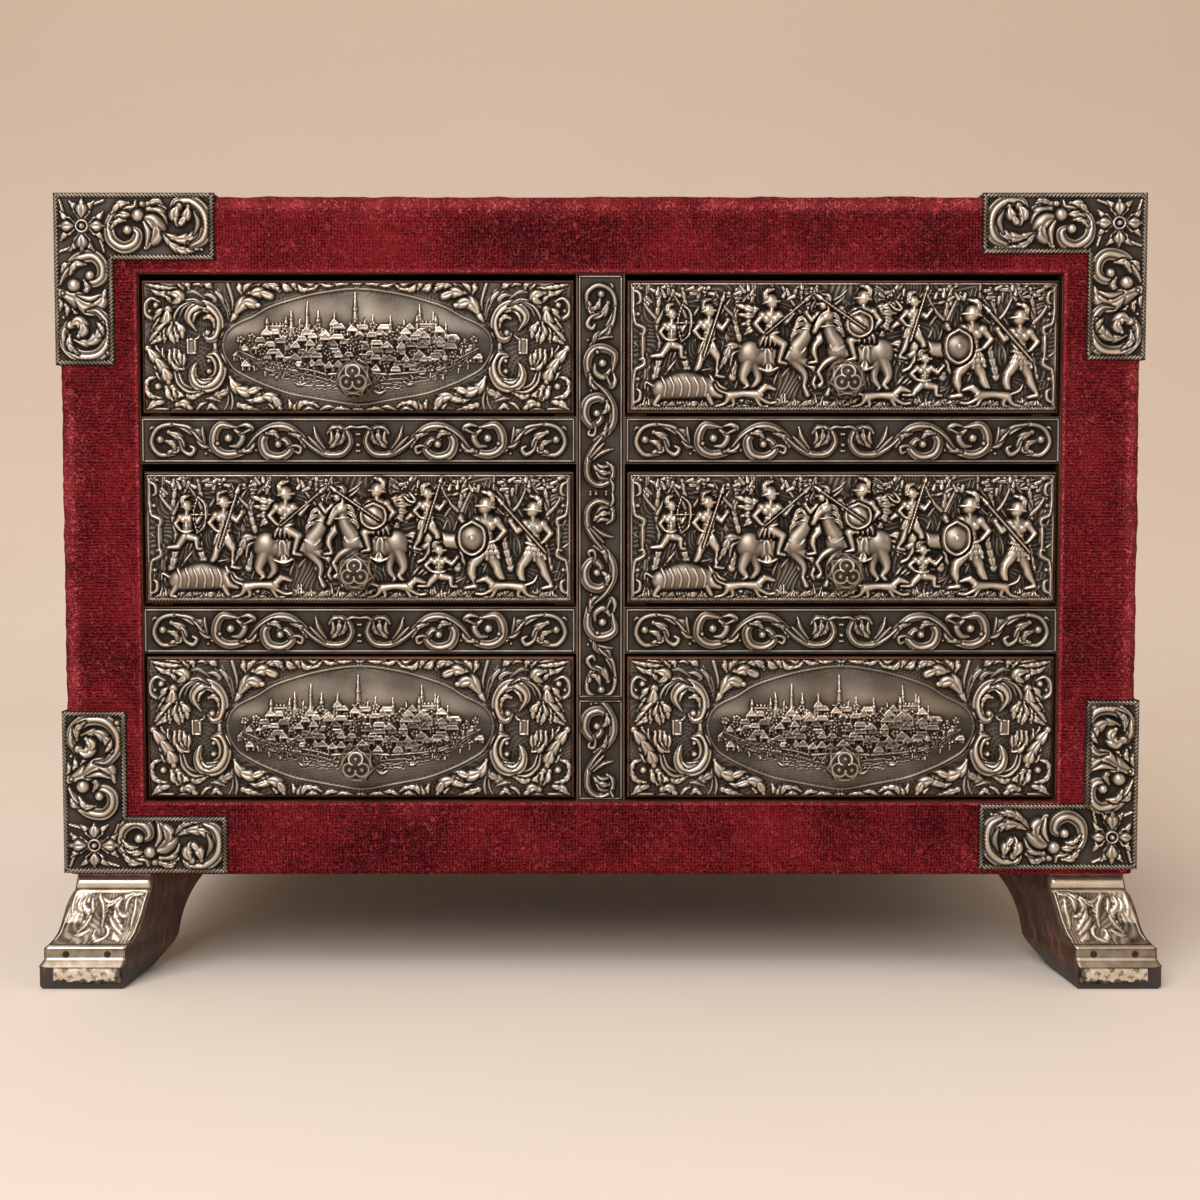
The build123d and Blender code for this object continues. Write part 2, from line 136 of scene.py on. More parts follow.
@dataclass(frozen=True)
class OxidisedSilver:
    """Chased silver darkened with sulphide and rubbed bright on its high places.

    The eye sees near-black hollows, brown-grey slopes and warm pale crests.
    """

    name: str = "oxidised_silver"
    pit: str = "#221d19"
    ground: str = "#47423c"
    slope: str = "#7e766c"
    shoulder: str = "#bdb3a7"
    crest: str = "#e0d7cb"
    film: str = "#e3b98c"
    roughness: float = 0.34
    tarnish: float = 0.2
    tarnish_mm: float = 7.0
    grain_mm: float = 0.45

    def make(self) -> bpy.types.Material:
        """Builds the silver.

        Returns:
            The material, which reads the piece's wear attribute.
        """
        material, tree, shader = new_finish(self.name)
        place = add_node(tree, "TexCoord")
        wear = add_node(tree, "Attribute", attribute_name="wear")
        # Tarnish lies in soft patches, so crests are brighter here and duller there.
        patches = add_node(tree, "TexNoise", {
            "Vector": place["Object"], "Scale": 1 / (self.tarnish_mm * MM), "Detail": 4.0,
            "Roughness": 0.6,
        })
        uneven = add_node(
            tree, "Math", {0: patches["Fac"], 1: self.tarnish, 2: -self.tarnish / 2},
            operation="MULTIPLY_ADD"
        )
        level = add_node(
            tree, "Math", {0: wear["Fac"], 1: uneven["Value"]}, operation="ADD", use_clamp=True
        )
        colour = add_node(
            tree, "ValToRGB", {"Fac": level["Value"]},
            stops=(
                (0.0, self.pit), (0.22, self.ground), (0.45, self.slope), (0.68, self.shoulder),
                (1.0, self.crest),
            )
        )
        # A thin brown film lies on it in places as wide as a finger.
        film = add_node(tree, "TexNoise", {
            "Vector": place["Object"], "Scale": 1 / (2.3 * self.tarnish_mm * MM), "Detail": 5.0,
            "Roughness": 0.65,
        })
        browned = add_node(tree, "MapRange", {
            "Value": film["Fac"], "From Min": 0.44, "From Max": 0.62, "To Min": 0.0,
            "To Max": 0.18,
        })
        warm = add_node(
            tree, "Mix", {0: browned["Result"], 6: colour["Color"], 7: linear(self.film)},
            data_type="RGBA", blend_type="MULTIPLY"
        )
        # The dark sulphide in the hollows is matt, and rubbed silver has a soft gloss.
        gloss = add_node(tree, "MapRange", {
            "Value": level["Value"], "To Min": self.roughness + 0.22,
            "To Max": self.roughness - 0.08,
        })
        # Punch and file marks of about half a millimetre, drawn coarser than real to show.
        grain = add_node(tree, "TexNoise", {
            "Vector": place["Object"], "Scale": 1 / (self.grain_mm * MM), "Detail": 3.0,
            "Roughness": 0.6,
        })
        bump = add_node(
            tree, "Bump", {"Height": grain["Fac"], "Strength": 0.35, "Distance": 0.12 * MM}
        )
        feed(shader, {
            "Base Color": warm[2], "Roughness": gloss["Result"], "Normal": bump["Normal"],
            "Metallic": 0.92,
        })
        return material


@dataclass(frozen=True)
class SpeckledMetal:
    """Plain metal without a chased ground: filed silver, or iron with its forging scale.

    The eye sees a soft grey metal, or a rough near-black one, with brown specks.
    """

    name: str
    stops: tuple[tuple[float, str], ...]
    speck_mm: float = 2.2
    detail: float = 5.0
    broken: float = 0.65
    dent_mm: float = 0.1
    dents: float = 0.3
    metallic: float = 0.95
    roughness: float = 0.36

    def make(self) -> bpy.types.Material:
        """Builds the metal.

        Returns:
            The material.
        """
        material, tree, shader = new_finish(self.name)
        place = add_node(tree, "TexCoord")
        specks = add_node(tree, "TexNoise", {
            "Vector": place["Object"], "Scale": 1 / (self.speck_mm * MM), "Detail": self.detail,
            "Roughness": self.broken,
        })
        colour = add_node(tree, "ValToRGB", {"Fac": specks["Fac"]}, stops=self.stops)
        bump = add_node(tree, "Bump", {
            "Height": specks["Fac"], "Strength": self.dents, "Distance": self.dent_mm * MM,
        })
        feed(shader, {
            "Base Color": colour["Color"], "Normal": bump["Normal"], "Metallic": self.metallic,
            "Roughness": self.roughness,
        })
        return material


@dataclass(frozen=True)
class CrimsonVelvet:
    """Silk velvet on a woven ground, laid tight, rubbed and painted with a highlight along its
    edges.

    The eye sees a deep red in thumb-wide clouds, short rows of tufts both ways, and
    pale curled threads where the pile has come loose.
    """

    name: str = "crimson_velvet"
    deep: str = "#120103"
    body: str = "#44080e"
    lit: str = "#75181e"
    thread: str = "#bd4d53"
    row_mm: float = 0.95
    patch_mm: float = 30.0
    curl_mm: float = 2.1

    def make(self) -> bpy.types.Material:
        """Builds the velvet.

        Returns:
            The material, which reads the piece's own UV map and its wear attribute.
        """
        material, tree, shader = new_finish(self.name)
        place = add_node(tree, "TexCoord")
        weave = add_node(tree, "UVMap", uv_map="cloth")
        wear = add_node(tree, "Attribute", attribute_name="wear")
        # The pile leans in soft clouds as wide as a thumb.
        clouds = add_node(tree, "TexNoise", {
            "Vector": place["Object"], "Scale": 1 / (self.patch_mm * MM), "Detail": 7.0,
            "Roughness": 0.6,
        })
        # Rows of tufts, one way in some places and the other way in others.
        rows = [
            add_node(
                tree, "TexWave",
                {
                    "Vector": weave["UV"], "Scale": 2 * math.pi / (20 * self.row_mm * MM),
                    "Distortion": 5.5, "Detail": 3.0, "Detail Scale": 1.7,
                    "Detail Roughness": 0.66,
                },
                bands_direction=direction
            )
            for direction in ("X", "Y")
        ]
        choice = add_node(
            tree, "TexNoise", {"Vector": place["Object"], "Scale": 1 / (7 * MM), "Detail": 2.0}
        )
        # The rows run across each band of cloth: level at the sides, upright above and below.
        parts = add_node(tree, "SeparateXYZ", {"Vector": place["Object"]})
        aside = add_node(tree, "Math", {0: parts["X"]}, operation="ABSOLUTE")
        torn = add_node(
            tree, "Math", {0: choice["Fac"], 1: 0.09, 2: aside["Value"]}, operation="MULTIPLY_ADD"
        )
        share = add_node(tree, "MapRange", {
            "Value": torn["Value"], "From Min": 0.174, "From Max": 0.19, "To Min": 0.42,
            "To Max": 0.88,
        })
        tufted = add_node(tree, "Mix", {0: share["Result"], 2: rows[0]["Fac"], 3: rows[1]["Fac"]})
        # Single tufts of half a millimetre stand out of the rows.
        tufts = add_node(
            tree, "TexNoise",
            {"Vector": place["Object"], "Scale": 1 / (0.75 * MM), "Detail": 3.0, "Roughness": 0.7}
        )
        # Loose pile curls like short worms, two millimetres from bend to bend.
        worms = add_node(tree, "TexNoise", {
            "Vector": place["Object"], "Scale": 1 / (self.curl_mm * MM), "Detail": 1.5,
            "Distortion": 1.6,
        })
        fold = add_node(tree, "Math", {0: worms["Fac"], 1: 0.5}, operation="SUBTRACT")
        ridge = add_node(tree, "Math", {0: fold["Value"]}, operation="ABSOLUTE")
        threads = add_node(tree, "MapRange", {
            "Value": ridge["Value"], "From Min": 0.0, "From Max": 0.035, "To Min": 1.0,
            "To Max": 0.0,
        })
        woven = add_node(tree, "Math", {0: tufted[0], 1: 0.56}, operation="MULTIPLY")
        speckle = add_node(
            tree, "Math", {0: tufts["Fac"], 1: 1.5, 2: woven["Value"]}, operation="MULTIPLY_ADD"
        )
        soft = add_node(
            tree, "Math", {0: clouds["Fac"], 1: 0.68, 2: 0.0}, operation="MULTIPLY_ADD"
        )
        lean = add_node(
            tree, "Math", {0: speckle["Value"], 1: 0.52, 2: soft["Value"]},
            operation="MULTIPLY_ADD"
        )
        colour = add_node(
            tree, "ValToRGB", {"Fac": lean["Value"]},
            stops=((0.62, self.deep), (0.84, self.body), (1.0, self.lit))
        )
        # The wear attribute pales the pile toward the thread colour: worn threads, and a painted
        # highlight along the folds and the hem.
        loose = add_node(tree, "Math", {0: wear["Fac"], 1: 2.3, 2: 0.42}, operation="MULTIPLY_ADD")
        strands = add_node(
            tree, "Math", {0: loose["Value"], 1: threads["Result"]}, operation="MULTIPLY",
            use_clamp=True
        )
        worn_and_highlight_share = add_node(
            tree, "Math", {0: wear["Fac"], 1: 0.2, 2: strands["Value"]}, operation="MULTIPLY_ADD",
            use_clamp=True
        )
        worn = add_node(
            tree, "Mix", {0: worn_and_highlight_share["Value"], 6: colour["Color"], 7: linear(self.thread)},
            data_type="RGBA"
        )
        pile = add_node(
            tree, "Math", {0: strands["Value"], 1: 0.5, 2: speckle["Value"]},
            operation="MULTIPLY_ADD"
        )
        bump = add_node(
            tree, "Bump", {"Height": pile["Value"], "Strength": 0.8, "Distance": 0.5 * MM}
        )
        feed(shader, {
            "Base Color": worn[2], "Normal": bump["Normal"], "Roughness": 0.95,
            "Specular IOR Level": 0.08, "Sheen Weight": 0.22, "Sheen Roughness": 0.4,
            "Sheen Tint": linear("#b0343b"),
        })
        return material


@dataclass(frozen=True)
class PlanedWood:
    """A planed and waxed hardwood with rings stretched along its grain.

    The eye sees long dark streaks, short open pores and a dull wax shine.
    """

    name: str = "walnut"
    dark: str = "#2a1a10"
    middle: str = "#513521"
    light: str = "#7a5331"
    ring_mm: float = 3.5
    along: int = 0
    roughness: float = 0.5
    coat: float = 0.1
    grime_mm: float = 0.0
    grime: str = "#24211f"

    def make(self) -> bpy.types.Material:
        """Builds the wood.

        Returns:
            The material, with its grain along the chosen axis.
        """
        material, tree, shader = new_finish(self.name)
        place = add_node(tree, "TexCoord")
        stretch = [1.0, 1.0, 1.0]
        stretch[self.along] = 0.06
        run = add_node(tree, "Mapping", {"Vector": place["Object"], "Scale": stretch})
        rings = add_node(tree, "TexNoise", {
            "Vector": run["Vector"], "Scale": 1 / (self.ring_mm * MM), "Detail": 6.0,
            "Roughness": 0.6, "Distortion": 0.5,
        })
        # Open pores: short dark dashes a fifth of a millimetre wide, drawn at 0.5 mm to show.
        pores = add_node(
            tree, "TexNoise", {"Vector": run["Vector"], "Scale": 1 / (0.5 * MM), "Detail": 2.0}
        )
        dashes = add_node(tree, "MapRange", {
            "Value": pores["Fac"], "From Min": 0.3, "From Max": 0.5, "To Min": -0.22,
            "To Max": 0.0,
        })
        figure = add_node(tree, "Math", {0: rings["Fac"], 1: dashes["Result"]}, operation="ADD")
        colour = add_node(
            tree, "ValToRGB", {"Fac": figure["Value"]},
            stops=((0.28, self.dark), (0.5, self.middle), (0.72, self.light))
        )
        # Polish and dust have turned the lowest millimetres lead grey.
        height = add_node(tree, "SeparateXYZ", {"Vector": place["Object"]})
        smeared = add_node(
            tree, "Math", {0: rings["Fac"], 1: 5 * MM, 2: height["Z"]}, operation="MULTIPLY_ADD"
        )
        dirt = add_node(tree, "MapRange", {
            "Value": smeared["Value"], "From Min": (self.grime_mm + 1.0) * MM,
            "From Max": (self.grime_mm + 4.0) * MM, "To Min": 0.85 if self.grime_mm else 0.0,
            "To Max": 0.0,
        })
        grimy = add_node(
            tree, "Mix", {0: dirt["Result"], 6: colour["Color"], 7: linear(self.grime)},
            data_type="RGBA"
        )
        bump = add_node(
            tree, "Bump", {"Height": figure["Value"], "Strength": 0.35, "Distance": 0.25 * MM}
        )
        feed(shader, {
            "Base Color": grimy[2], "Normal": bump["Normal"], "Roughness": self.roughness,
            "Coat Weight": self.coat, "Coat Roughness": 0.35,
        })
        return material


@dataclass(frozen=True)
class StudioPaper:
    """Matt background paper, warm, with painted shade that darkens it up the wall."""

    name: str = "studio_paper"
    colour: str = "#f3eadf"
    bend: str = "#e9dccf"
    wall: str = "#dccdbe"

    def make(self) -> bpy.types.Material:
        """Builds the paper.

        Returns:
            The material.
        """
        material, tree, shader = new_finish(self.name)
        place = add_node(tree, "TexCoord")
        parts = add_node(tree, "SeparateXYZ", {"Vector": place["Object"]})
        pulp = add_node(tree, "TexNoise", {"Vector": place["Object"], "Scale": 9.0, "Detail": 5.0})
        rise = add_node(
            tree, "Math", {0: pulp["Fac"], 1: 0.1, 2: parts["Z"]}, operation="MULTIPLY_ADD"
        )
        # Painted shade: the paper is coloured darker as it climbs the wall, where less light
        # falls.
        colour = add_node(
            tree, "ValToRGB", {"Fac": rise["Value"]},
            stops=((0.04, self.colour), (0.22, self.bend), (0.6, self.wall))
        )
        feed(shader, {"Base Color": colour["Color"], "Roughness": 0.9, "Specular IOR Level": 0.1})
        return material


# ------------------------------------------------------------------ chasing
@dataclass(frozen=True)
class Stroke:
    """A raised band: its middle line, its width at each point, its height and its groove."""

    points: tuple[Point, ...]
    widths: tuple[float, ...]
    height: float
    groove: float = 0.0


@dataclass(frozen=True)
class Bead:
    """A round bead: its place, radius and height."""

    place: Point
    radius: float
    height: float


Mark = Stroke | Bead


def smooth_line(points: np.ndarray, spacing: float = 0.3) -> np.ndarray:
    """Draws an even curve through a few points.

    Args:
        points: the points in rows; further columns, such as a width, are carried along.
        spacing: the step along the curve, in millimetres.

    Returns:
        The curve's points in rows, with the same columns.
    """
    points = np.asarray(points, float)
    ends = np.vstack([2 * points[0] - points[1], points, 2 * points[-1] - points[-2]])
    runs = []
    for before, start, stop, after in zip(ends, ends[1:], ends[2:], ends[3:]):
        steps = max(2, int(np.hypot(*(stop - start)[:2]) / spacing))
        t = (np.arange(steps) / steps)[:, None]
        runs.append(
            0.5
            * (
                2 * start
                + (stop - before) * t
                + (2 * before - 5 * start + 4 * stop - after) * t**2
                + (3 * start - before - 3 * stop + after) * t**3
            )
        )
    return np.vstack([*runs, points[-1:]])


def blurred(heights: np.ndarray, reach: float) -> np.ndarray:
    """Evens out a field of heights.

    Args:
        heights: the field.
        reach: how far the evening reaches, in cells.

    Returns:
        The evened field.
    """
    size = max(1, int(reach))
    for axis in (0, 1, 0, 1):
        edges = [(size + 1, size) if number == axis else (0, 0) for number in (0, 1)]
        sums = np.cumsum(np.pad(heights, edges, mode="edge"), axis=axis)
        places = np.arange(heights.shape[axis])
        gain = sums.take(places + 2 * size + 1, axis) - sums.take(places, axis)
        heights = gain / (2 * size + 1)
    return heights


@dataclass
class Relief:
    """A sheet of silver worked into relief, as heights in millimetres over its face."""

    across: np.ndarray
    up: np.ndarray
    moat: float = 0.24
    height: np.ndarray = field(init=False)
    shine: np.ndarray = field(init=False)

    def __post_init__(self) -> None:
        """Lays the sheet flat."""
        self.height = np.zeros((len(self.across), len(self.up)))
        self.shine = np.zeros_like(self.height)

    def window(self, low: Point, high: Point) -> tuple[slice, slice]:
        """Finds the cells between two corners.

        Args:
            low: the lowest corner.
            high: the highest corner.

        Returns:
            The slices of the cells.
        """
        first, last = np.searchsorted(self.across, (low[0], high[0]))
        bottom, top = np.searchsorted(self.up, (low[1], high[1]))
        return slice(first, last), slice(bottom, top)

    def lay(self, window: tuple[slice, slice], height: np.ndarray, cover: np.ndarray) -> None:
        """Lays a form over what is there, with a chased line sunk round it.

        Args:
            window: the cells.
            height: the form's heights.
            cover: how far the form and the line round it hide what is there, from 0 to 1.
        """
        self.height[window] = np.maximum(self.height[window] * (1 - 0.88 * cover), height)

    def cover(self, gap: np.ndarray) -> np.ndarray:
        """Works out how far a form hides what lies at a distance outside it, from 0 to 1."""
        return np.clip(1 - gap / max(self.moat, 1e-6), 0, 1) * (self.moat > 0)

    def stroke(
        self,
        points: Sequence[Point],
        widths: Sequence[float],
        height: float,
        groove: float = 0.0,
    ) -> None:
        """Raises a round band along a curve.

        Args:
            points: the points that the band's middle line runs through.
            widths: the band's width at each point.
            height: the height of its widest place.
            groove: how deep the line chased along its crown is, from 0 to 1.
        """
        line = smooth_line(np.column_stack([points, widths]))
        line[:, 2] = np.maximum(line[:, 2], 0.12)
        margin = line[:, 2].max() / 2 + self.moat
        whole = self.window(line[:, :2].min(0) - margin, line[:, :2].max(0) + margin)
        across, up = self.across[whole[0]], self.up[whole[1]]
        if not len(across) or not len(up):
            return
        nearest = np.full((len(across), len(up)), np.inf)
        girth = np.ones_like(nearest)
        travel = np.zeros_like(nearest)
        reach = np.concatenate([[0], np.cumsum(np.hypot(*np.diff(line[:, :2], axis=0).T))])
        for start in range(0, len(line) - 1, 10):
            run = line[start : start + 11]
            low, high = run[:, :2].min(0) - margin, run[:, :2].max(0) + margin
            first, last = np.searchsorted(across, (low[0], high[0]))
            bottom, top = np.searchsorted(up, (low[1], high[1]))
            if first == last or bottom == top:
                continue
            x = across[first:last, None, None]
            z = up[None, bottom:top, None]
            step = np.diff(run, axis=0)
            square = np.maximum((step[:, :2] ** 2).sum(1), 1e-9)
            share = ((x - run[:-1, 0]) * step[:, 0] + (z - run[:-1, 1]) * step[:, 1]) / square
            share = np.clip(share, 0, 1)
            gap = np.hypot(
                x - run[:-1, 0] - share * step[:, 0], z - run[:-1, 1] - share * step[:, 1]
            )
            width = run[:-1, 2] + share * step[:, 2]
            ahead = reach[start : start + len(run) - 1] + share * np.sqrt(square)
            best = gap.argmin(2)[..., None]
            gap, width, ahead = (
                np.take_along_axis(values, best, 2)[..., 0] for values in (gap, width, ahead)
            )
            part = (slice(first, last), slice(bottom, top))
            nearer = gap < nearest[part]
            nearest[part] = np.where(nearer, gap, nearest[part])
            girth[part] = np.where(nearer, width, girth[part])
            travel[part] = np.where(nearer, ahead, travel[part])
        ratio = 2 * nearest / girth
        widest = line[:, 2].max()
        leafy = groove > 0 and widest > 1.9 and len(points) < 6
        if leafy:
            # A leaf has lobes that slant forward from its midrib, with a vein between two.
            place = (travel - 1.1 * np.minimum(nearest, widest)) / max(1.9, 0.85 * widest)
            tooth = 2 * np.abs(place - np.floor(place) - 0.5)
            ratio *= 1 + 0.45 * tooth**3
        crown = np.sqrt(np.clip(1 - ratio**2, 0, None))
        if leafy:
            crown *= 1 - 0.4 * tooth**7 * np.clip(2.2 * ratio, 0, 1)
            crown *= 1 - 0.22 * np.exp(-((ratio / 0.18) ** 2))
        elif widest < 1.7:
            crown *= 1 - groove * np.exp(-((ratio / 0.3) ** 2))
        else:
            # A wide lobe is fluted along both sides of its middle.
            crown *= 1 - groove * np.exp(-(((ratio - 0.5) / 0.17) ** 2))
        cover = self.cover(nearest - girth / 2)
        self.lay(whole, height * crown * (girth / girth.max()) ** 0.3, cover)

    def bars(self, corners: Sequence[Point], width: float, height: float) -> None:
        """Raises an even bar from each corner to the next."""
        for start, stop in zip(corners, corners[1:]):
            self.stroke([start, stop], [width, width], height)

    def bead(self, place: Point, radius: float, height: float) -> None:
        """Raises a round bead.

        Args:
            place: its middle.
            radius: its radius.
            height: its height.
        """
        middle = np.array(place)
        window = self.window(middle - radius - self.moat, middle + radius + self.moat)
        gap = np.hypot(
            self.across[window[0], None] - place[0], self.up[None, window[1]] - place[1]
        )
        crown = np.sqrt(np.clip(1 - (gap / radius) ** 2, 0, None))
        self.lay(window, height * crown, self.cover(gap - radius))

    def slab(self, corners: Sequence[Point], height: float) -> None:
        """Raises a flat patch with straight sides.

        Args:
            corners: its corners in turn, with none pointing inwards.
            height: its height.
        """
        points = np.asarray(corners, float)
        window = self.window(points.min(0), points.max(0))
        x, z = self.across[window[0], None], self.up[None, window[1]]
        sides = np.roll(points, -1, axis=0) - points
        turns = [
            side[0] * (z - start[1]) - side[1] * (x - start[0])
            for start, side in zip(points, sides)
        ]
        lowest, highest = np.min(turns, 0), np.max(turns, 0)
        inside = (lowest >= 0) | (highest <= 0)
        self.lay(window, height * inside, inside.astype(float))

    def rope(self, corners: Sequence[Point], width: float, height: float, pitch: float) -> None:
        """Raises a twisted rope along straight runs.

        Args:
            corners: the corners that the rope runs through.
            width: its width.
            height: its height.
            pitch: the length of one turn of its strands.
        """
        for start, stop in zip(corners, corners[1:]):
            start, stop = np.array(start, float), np.array(stop, float)
            length = np.hypot(*(stop - start))
            ahead = (stop - start) / length
            out = np.array([-ahead[1], ahead[0]])
            for place in np.arange(pitch / 2, length, pitch):
                middle = start + ahead * place
                slant = 0.5 * pitch * ahead + 0.42 * width * out
                self.stroke(
                    [middle - slant, middle + slant], [pitch * 0.62, pitch * 0.62], height
                )

    def draw(
        self,
        marks: Iterable[Mark],
        at: Point = (0.0, 0.0),
        size: float | Point = 1.0,
        lift: float = 1.0,
        wide: float = 1.0,
    ) -> None:
        """Works a set of marks into the sheet.

        Args:
            marks: the marks in their own frame.
            at: where the frame's origin goes.
            size: how much they grow, or how much across and up; below 0 turns them over.
            lift: how much their heights grow.
            wide: how much their bands, lobes and beads grow wider.
        """
        grow = np.array(size if isinstance(size, tuple) else (size, abs(size)), float)
        girth = wide * float(np.abs(grow).mean())
        move = np.array(at)
        for mark in marks:
            if isinstance(mark, Stroke):
                points = np.asarray(mark.points) * grow + move
                widths = np.asarray(mark.widths) * girth
                self.stroke(points, widths, mark.height * lift, mark.groove)
            else:
                place = np.asarray(mark.place) * grow + move
                self.bead(place, mark.radius * girth, mark.height * lift)

    def overlay(
        self,
        marks: Iterable[Mark],
        at: Point = (0.0, 0.0),
        size: float | Point = 1.0,
        lift: float = 1.0,
        wide: float = 1.0,
    ) -> None:
        """Melts a set of marks into one figure and lays it over what is there.

        Args:
            marks: the marks in their own frame.
            at: where the frame's origin goes.
            size: how much they grow, or how much across and up; below 0 turns them over.
            lift: how much their heights grow.
            wide: how much their bands, lobes and beads grow wider.
        """
        figure = Relief(self.across, self.up, 0.0)
        figure.draw(marks, at, size, lift, wide)
        solid = (figure.height > 0.05).astype(float)
        cell = self.across[1] - self.across[0]
        cover = np.clip(2.6 * blurred(solid, 0.5 / cell), 0, 1)
        self.lay((slice(None), slice(None)), figure.height, cover)

    def hatch(self, chased: float, pitch: float, waves: float = 9.0) -> None:
        """Chases the bare ground with fine lines that follow one another in soft bends.

        Args:
            chased: how far the ridges between the lines stand up.
            pitch: the distance from line to line.
            waves: how far apart the bends lie.
        """
        x, z = self.across[:, None], self.up[None, :]
        bend = np.sin(x / waves + 0.7) * np.cos(z / waves)
        bend = bend + 0.6 * np.sin((x - 1.3 * z) / (0.6 * waves))
        flow = 0.55 * x + 0.35 * z + 0.42 * waves * bend
        slope = np.hypot(*np.gradient(flow, self.across, self.up))
        ridge = 0.5 + 0.5 * np.cos(2 * math.pi * flow / pitch)
        even = np.clip(1.6 / np.maximum(slope, 0.8), 0.25, 1)
        self.height = np.maximum(self.height, chased * even * ridge)

    def mirror(self) -> None:
        """Works the left half's relief into the right half too, over an even sheet."""
        self.height = np.maximum(self.height, self.height[::-1])

    def wear(self, cell: float) -> np.ndarray:
        """Works out how bright each place is rubbed.

        Args:
            cell: the size of a cell, in millimetres.

        Returns:
            From 0, a black hollow, to 1, a bright crest.
        """
        peak = max(np.percentile(self.height, 98.5), 0.2)
        fine = self.height - blurred(self.height, 0.35 / cell)
        broad = self.height - blurred(self.height, 1.5 / cell)
        bright = 0.25 + 0.2 * self.height / peak + (1.15 * fine + 0.75 * broad) / min(peak, 2.0)
        return np.clip(bright + self.shine, 0, 1)


def even_lines(start: float, stop: float, cell: float) -> np.ndarray:
    """Divides a length into even cells, as near the given size as they go."""
    return np.linspace(start, stop, max(2, round((stop - start) / cell) + 1))


def blank(across: float, up: float, cell: float) -> Relief:
    """Lays out a flat plate about its own middle, from its half sizes."""
    return Relief(even_lines(-across, across, cell), even_lines(-up, up, cell))


def chased_sheet(
    places: np.ndarray,
    backs: np.ndarray,
    wear: np.ndarray,
    keep: np.ndarray | None = None,
) -> bmesh.types.BMesh:
    """Makes a closed sheet of silver whose face follows a field of places.

    Args:
        places: the face's places in millimetres, one for each crossing of the grid.
        backs: the same for the flat back, which only the rim reaches.
        wear: how bright each place is.
        keep: which cells stay, where the sheet isn't a full rectangle.

    Returns:
        The sheet.
    """
    across, up = wear.shape
    sheet = bmesh.new()
    bmesh.ops.create_grid(sheet, x_segments=across - 1, y_segments=up - 1, size=1)
    shine = sheet.verts.layers.float.new("wear")
    order = sheet.verts.layers.int.new("order")
    face = places.transpose(1, 0, 2).reshape(-1, 3).tolist()
    back = backs.transpose(1, 0, 2).reshape(-1, 3)
    bright = wear.T.reshape(-1).tolist()
    for number, vertex in enumerate(sheet.verts):
        vertex.co = face[number]
        vertex[shine] = bright[number]
        vertex[order] = number
    smoothed(sheet.faces)
    if keep is not None:
        gone = [cell for cell, stays in zip(sheet.faces, keep.T.reshape(-1)) if not stays]
        bmesh.ops.delete(sheet, geom=gone, context="FACES")
    rim = rim_of(sheet)
    for edge in rim:
        edge.smooth = False
    corners, edges, _ = grow(sheet, rim)
    for vertex in corners:
        vertex.co = back[vertex[order]]
        vertex[shine] = 0.25
    loop = [edge for edge in edges if edge.is_boundary]
    bmesh.ops.triangle_fill(sheet, edges=loop, use_beauty=True)
    bmesh.ops.recalc_face_normals(sheet, faces=sheet.faces)
    sheet.verts.layers.int.remove(order)
    return sheet


def grow(
    shape: bmesh.types.BMesh, edges: Sequence[bmesh.types.BMEdge]
) -> tuple[list[bmesh.types.BMVert], list[bmesh.types.BMEdge], list[bmesh.types.BMFace]]:
    """Extrudes edges in place.

    Args:
        shape: the shape.
        edges: its edges to extrude.

    Returns:
        The new vertices, edges and faces.
    """
    geometry = bmesh.ops.extrude_edge_only(shape, edges=edges)["geom"]
    kinds = (bmesh.types.BMVert, bmesh.types.BMEdge, bmesh.types.BMFace)
    return tuple([item for item in geometry if isinstance(item, kind)] for kind in kinds)


def smoothed(faces: Iterable[bmesh.types.BMFace]) -> None:
    """Shades faces smooth."""
    for face in faces:
        face.smooth = True


def rim_of(shape: bmesh.types.BMesh) -> list[bmesh.types.BMEdge]:
    """Finds the open edges of a shape."""
    return [edge for edge in shape.edges if edge.is_boundary]


def joined(parts: Iterable[bmesh.types.BMesh]) -> bmesh.types.BMesh:
    """Puts several shapes into one.

    Args:
        parts: the shapes, which are used up.

    Returns:
        One shape that holds them all.
    """
    whole = bmesh.new()
    for part in parts:
        carrier = bpy.data.meshes.new("carrier")
        part.to_mesh(carrier)
        part.free()
        whole.from_mesh(carrier)
        bpy.data.meshes.remove(carrier)
    return whole


def finish_piece(
    name: str,
    body: str,
    shape: bmesh.types.BMesh,
    finish: bpy.types.Material,
    replaced: Sequence[str] = (),
) -> bpy.types.Object:
    """Turns a shape in millimetres into a dressed piece that rides on its body.

    Args:
        name: the piece's name.
        body: the body that it moves with.
        shape: its shape, which is used up.
        finish: its material.
        replaced: the plain nodes that it stands for.

    Returns:
        The piece.
    """
    mesh = bpy.data.meshes.new(name)
    shape.to_mesh(mesh)
    shape.free()
    mesh.transform(Matrix.Scale(MM, 4))
    mesh.materials.append(finish)
    piece = bpy.data.objects.new(name, mesh)
    bpy.context.scene.collection.objects.link(piece)
    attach(piece, body)
    if replaced:
        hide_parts(*replaced)
    log.info("%s: %d faces on %s", name, len(mesh.polygons), body)
    return piece


def dress(nodes: Iterable[str], finish: bpy.types.Material) -> None:
    """Gives plain nodes a finish.

    Args:
        nodes: their names.
        finish: the material.
    """
    for name in nodes:
        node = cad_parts[name]
        if not node.material_slots:
            node.data.materials.append(finish)
        for slot in node.material_slots:
            slot.material = finish
        log.info("%s: %s", name, finish.name)


def box_mm(node: str) -> tuple[np.ndarray, np.ndarray]:
    """Gives a node's lowest and highest corners in millimetres."""
    low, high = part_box(node)
    return np.array(low) / MM, np.array(high) / MM


